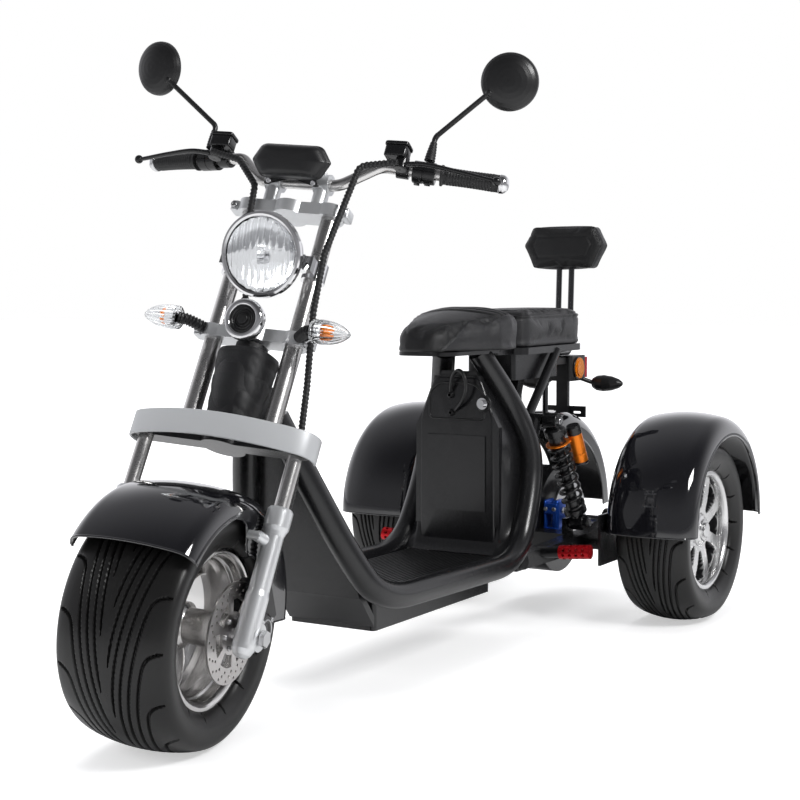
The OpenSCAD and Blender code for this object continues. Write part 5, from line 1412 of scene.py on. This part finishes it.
# the head's cover: half depth and half width, where it starts and how far it goes as shares of the way from the low
# to the middle yoke, and its fullness as share of the way up and size
NECK_DEEP, NECK_WIDE, NECK_FROM, NECK_LONG = 49, 55, 0.24, 0.66
NECK_FULL = [(0, 0.72), (0.04, 0.80), (0.2, 0.84), (0.55, 0.93), (0.9, 1.0), (0.975, 0.95), (1, 0.80)]


def neck_pad():
    """The padded cover of the head tube: a rounded oblong section carried up the head, fuller in the middle, flat on
    top, with shallow folds running round it."""
    t = np.concatenate([np.zeros(1), np.linspace(0, 1, 70), np.ones(1)])[:, None]
    size = np.interp(t, *np.transpose(NECK_FULL))
    size[0], size[-1] = 0, 0
    a = np.linspace(0, 2 * np.pi, 96, endpoint=False)[None]
    fold = 1 - 0.02 * np.cos(13 * t + 2.2 * np.sin(a)) ** 6 - 0.015 * np.cos(9 * t - 3 * np.cos(a + 0.6)) ** 8
    n = NECK_DEEP * size * fold * np.sign(np.cos(a)) * np.abs(np.cos(a)) ** 0.72
    y = NECK_WIDE * size * fold * np.sign(np.sin(a)) * np.abs(np.sin(a)) ** 0.72
    s = LOW_YOKE + (MID_YOKE - LOW_YOKE) * (NECK_FROM + NECK_LONG * t) + 0 * a
    return skin(np.stack([n, y, s], -1), wrap_v=True)


piece("neck_pad", [neck_pad()], HEAD, COVER, "frame")

# the silver band round the front of the fork: its left half from the back of the end round to the middle
BAND_HALF = [(-12, 180), (4, 183), (22, 180), (38, 168), (52, 142), (68, 98), (79, 50), (83, 0)]


def band(s0, s1, thick):
    """A bent strip: a flat oblong section with round rims carried along a curve seen from above."""
    half = np.array(BAND_HALF, float)
    path = even(smooth(np.concatenate([half, half[-2::-1] * (1, -1)]), 240), 150)
    out = unit(np.gradient(path, axis=0)) @ np.array([[0, 1], [-1, 0]])
    section = rounded([(0, s0), (thick, s0), (thick, s1), (0, s1)], 2.2, 5)
    rows = path[:, None] - out[:, None] * section[None, :, :1]
    rows = np.concatenate([rows, np.broadcast_to(section[None, :, 1:], rows.shape[:2] + (1,))], 2)
    return capped(rows, rows[0].mean(0), rows[-1].mean(0))


piece("band_wrap", [band(LOW_YOKE - 6, LOW_YOKE + 40, 5)], FORK, SILVER, "steering",
      ["bumper_band"])

# the rear caliper: two halves beside the disc, two bridges over it and an arm forwards, between its solid's sides
CALIPER_X0, CALIPER_X1 = 64, 114
CALIPER_Z0, CALIPER_Z1 = TYRE_R - 40, TYRE_R + 60
SLOT_HALF = 7
y0, y1 = ((corner[1] - CHASSIS.origin[1]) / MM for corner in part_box("rear_caliper"))
slot_y = (y0 + y1) / 2 - 4
halves = [rounded_box((CALIPER_X0, low, CALIPER_Z0), (CALIPER_X1, high, CALIPER_Z1), 8, 6)
          for low, high in ((y0 + 1, slot_y - SLOT_HALF), (slot_y + SLOT_HALF, y1 - 1))]
halves += [rounded_box((CALIPER_X1 - 16, y0 + 3, z), (CALIPER_X1 + 2, y1 - 3, z + 26), 5, 3)
           for z in (CALIPER_Z0 + 8, CALIPER_Z1 - 34)]
halves += [rounded_box((100, slot_y - 2, TYRE_R - 34), (159, slot_y + 22, TYRE_R - 18), 5, 3)]
piece("blue_caliper", halves, CHASSIS, BLUE, "frame", ["rear_caliper"])
bolts = [bolt_head((CALIPER_X1 + 1, y, z), (1, 0, 0), 5, 5)
         for y in (y0 + 10, y1 - 10) for z in (CALIPER_Z0 + 21, CALIPER_Z1 - 21)]
bolts += [bolt_head((88, y1 - 1, z), (0, 1, 0), 7, 4) for z in (CALIPER_Z0 + 26, CALIPER_Z1 - 26)]
piece("caliper_bolts", bolts, CHASSIS, STEEL, "frame")


# Camera, light and floor

CAMERA_AT = (2.81996, 1.70956, 0.78302)
CAMERA_YAW, CAMERA_PITCH, CAMERA_ROLL = 3.688058, -0.069668, -0.002901
CAMERA_LENS, CAMERA_SENSOR = 70.17, 36


def make_camera():
    """The photograph's view: yaw about Z from +X, pitch above the horizon, roll about the line of sight."""
    flat = math.cos(CAMERA_PITCH)
    look = np.array([flat * math.cos(CAMERA_YAW), flat * math.sin(CAMERA_YAW), math.sin(CAMERA_PITCH)])
    right = unit(np.cross(look, (0, 0, 1)))
    over = np.cross(right, look)
    c, s = math.cos(CAMERA_ROLL), math.sin(CAMERA_ROLL)
    turn = np.eye(4)
    turn[:3, :4] = np.stack([c * right + s * over, c * over - s * right, -look, CAMERA_AT], 1)
    data = bpy.data.cameras.new("camera")
    data.sensor_width = CAMERA_SENSOR
    data.lens = CAMERA_LENS
    camera = bpy.data.objects.new("camera", data)
    camera.matrix_world = Matrix(turn.tolist())
    scene.collection.objects.link(camera)
    scene.camera = camera


# strength of the studio's plain light, and what polished parts see of the room towards the camera and overhead
PLAIN_LIGHT, NEAR_LIGHT, CEILING_LIGHT = 0.45, 0.28, 0.3


def make_world():
    """A white studio: plain light on the object, white seen behind it and in clear parts, and in polished parts
    a room that is white at the back and falls off towards the camera's side and overhead."""
    world = bpy.data.worlds.new("studio")
    scene.world = world
    world.use_nodes = True
    tree = world.node_tree
    tree.nodes.clear()
    ray = tree.nodes.new("ShaderNodeLightPath").outputs
    seen = maths(tree, "MAXIMUM", ray["Is Camera Ray"], ray["Is Transmission Ray"])
    spot = tree.nodes.new("ShaderNodeTexCoord").outputs["Generated"]
    toward = unit(np.array(CAMERA_AT) * (1, 1, 0.0))
    facing = vectors(tree, "DOT_PRODUCT", (0, spot), (1, tuple(toward)))["Value"]
    height = node(tree, "ShaderNodeSeparateXYZ", [("Vector", spot)]).outputs["Z"]
    dim = maths(tree, "MULTIPLY", ramp(tree, facing, -0.5, 0.35, 1.0, NEAR_LIGHT),
                ramp(tree, height, 0.2, 0.8, 1.0, CEILING_LIGHT))
    plain, shine, white = (
        node(tree, "ShaderNodeBackground", [("Color", (*color, 1)), ("Strength", strength)]).outputs[0]
        for color, strength in (((0.95, 0.96, 1), PLAIN_LIGHT), ((0.96, 0.96, 1), dim), ((1, 1, 1), 1.0)))
    polished = node(tree, "ShaderNodeMixShader", [(0, ray["Is Glossy Ray"]), (1, plain), (2, shine)])
    whole = node(tree, "ShaderNodeMixShader", [(0, seen), (1, polished.outputs[0]), (2, white)])
    out = tree.nodes.new("ShaderNodeOutputWorld")
    tree.links.new(whole.outputs[0], out.inputs["Surface"])


def softbox(name, at, target, size, power, mirrored_in=True):
    """A flat soft light that faces a target, and that polished parts may show."""
    data = bpy.data.lights.new(name, "AREA")
    data.shape = "RECTANGLE"
    data.size, data.size_y = size
    data.energy = power
    lamp = bpy.data.objects.new(name, data)
    back = unit(np.subtract(at, target))
    side = unit(np.cross((0, 0, 1), back))
    turn = np.eye(4)
    turn[:3, :4] = np.stack([side, np.cross(back, side), back, at], 1)
    lamp.matrix_world = Matrix(turn.tolist())
    lamp.visible_glossy = mirrored_in
    scene.collection.objects.link(lamp)


FLOOR_HALF, FLOOR_Z = 30.0, -0.0005


def make_floor():
    """A pale floor that keeps the shadow and reads as white: to the camera it glows, more so away from the
    object."""
    mesh = bpy.data.meshes.new("floor")
    corners = [(x * FLOOR_HALF, y * FLOOR_HALF, FLOOR_Z) for x, y in ((-1, -1), (1, -1), (1, 1), (-1, 1))]
    mesh.from_pydata(corners, [], [(0, 1, 2, 3)])
    floor = bpy.data.objects.new("floor", mesh)
    scene.collection.objects.link(floor)
    pale = finish("pale_floor", (0.80, 0.80, 0.80), 0.6, tone=0.01, spread=0.05, bump=0.0, specular_ior_level=0.1)
    tree, shader, spot, _ = parts_of(pale)
    ray = tree.nodes.new("ShaderNodeLightPath").outputs
    glow = ramp(tree, vectors(tree, "LENGTH", (0, spot))["Value"], 0.9, 3.2, 0.5, 1.0)
    tree.links.new(maths(tree, "MULTIPLY", ray["Is Camera Ray"], glow), shader["Emission Strength"])
    shader["Emission Color"].default_value = (1, 1, 1, 1)
    mesh.materials.append(pale)


make_camera()
make_world()
make_floor()
# lights: place, target and size in metres, power in watts, and whether polished parts show them
softbox("key", (0.6, 3.2, 2.8), (0.1, 0, 0.5), (1.2, 0.9), 95)
softbox("top", (-0.6, -0.6, 3.4), (0, 0, 0.4), (3.2, 2.4), 90, False)
softbox("front", (3.6, -1.4, 2.0), (0.3, 0, 0.5), (1.6, 1.6), 45, False)
scene.view_settings.view_transform = "Standard"
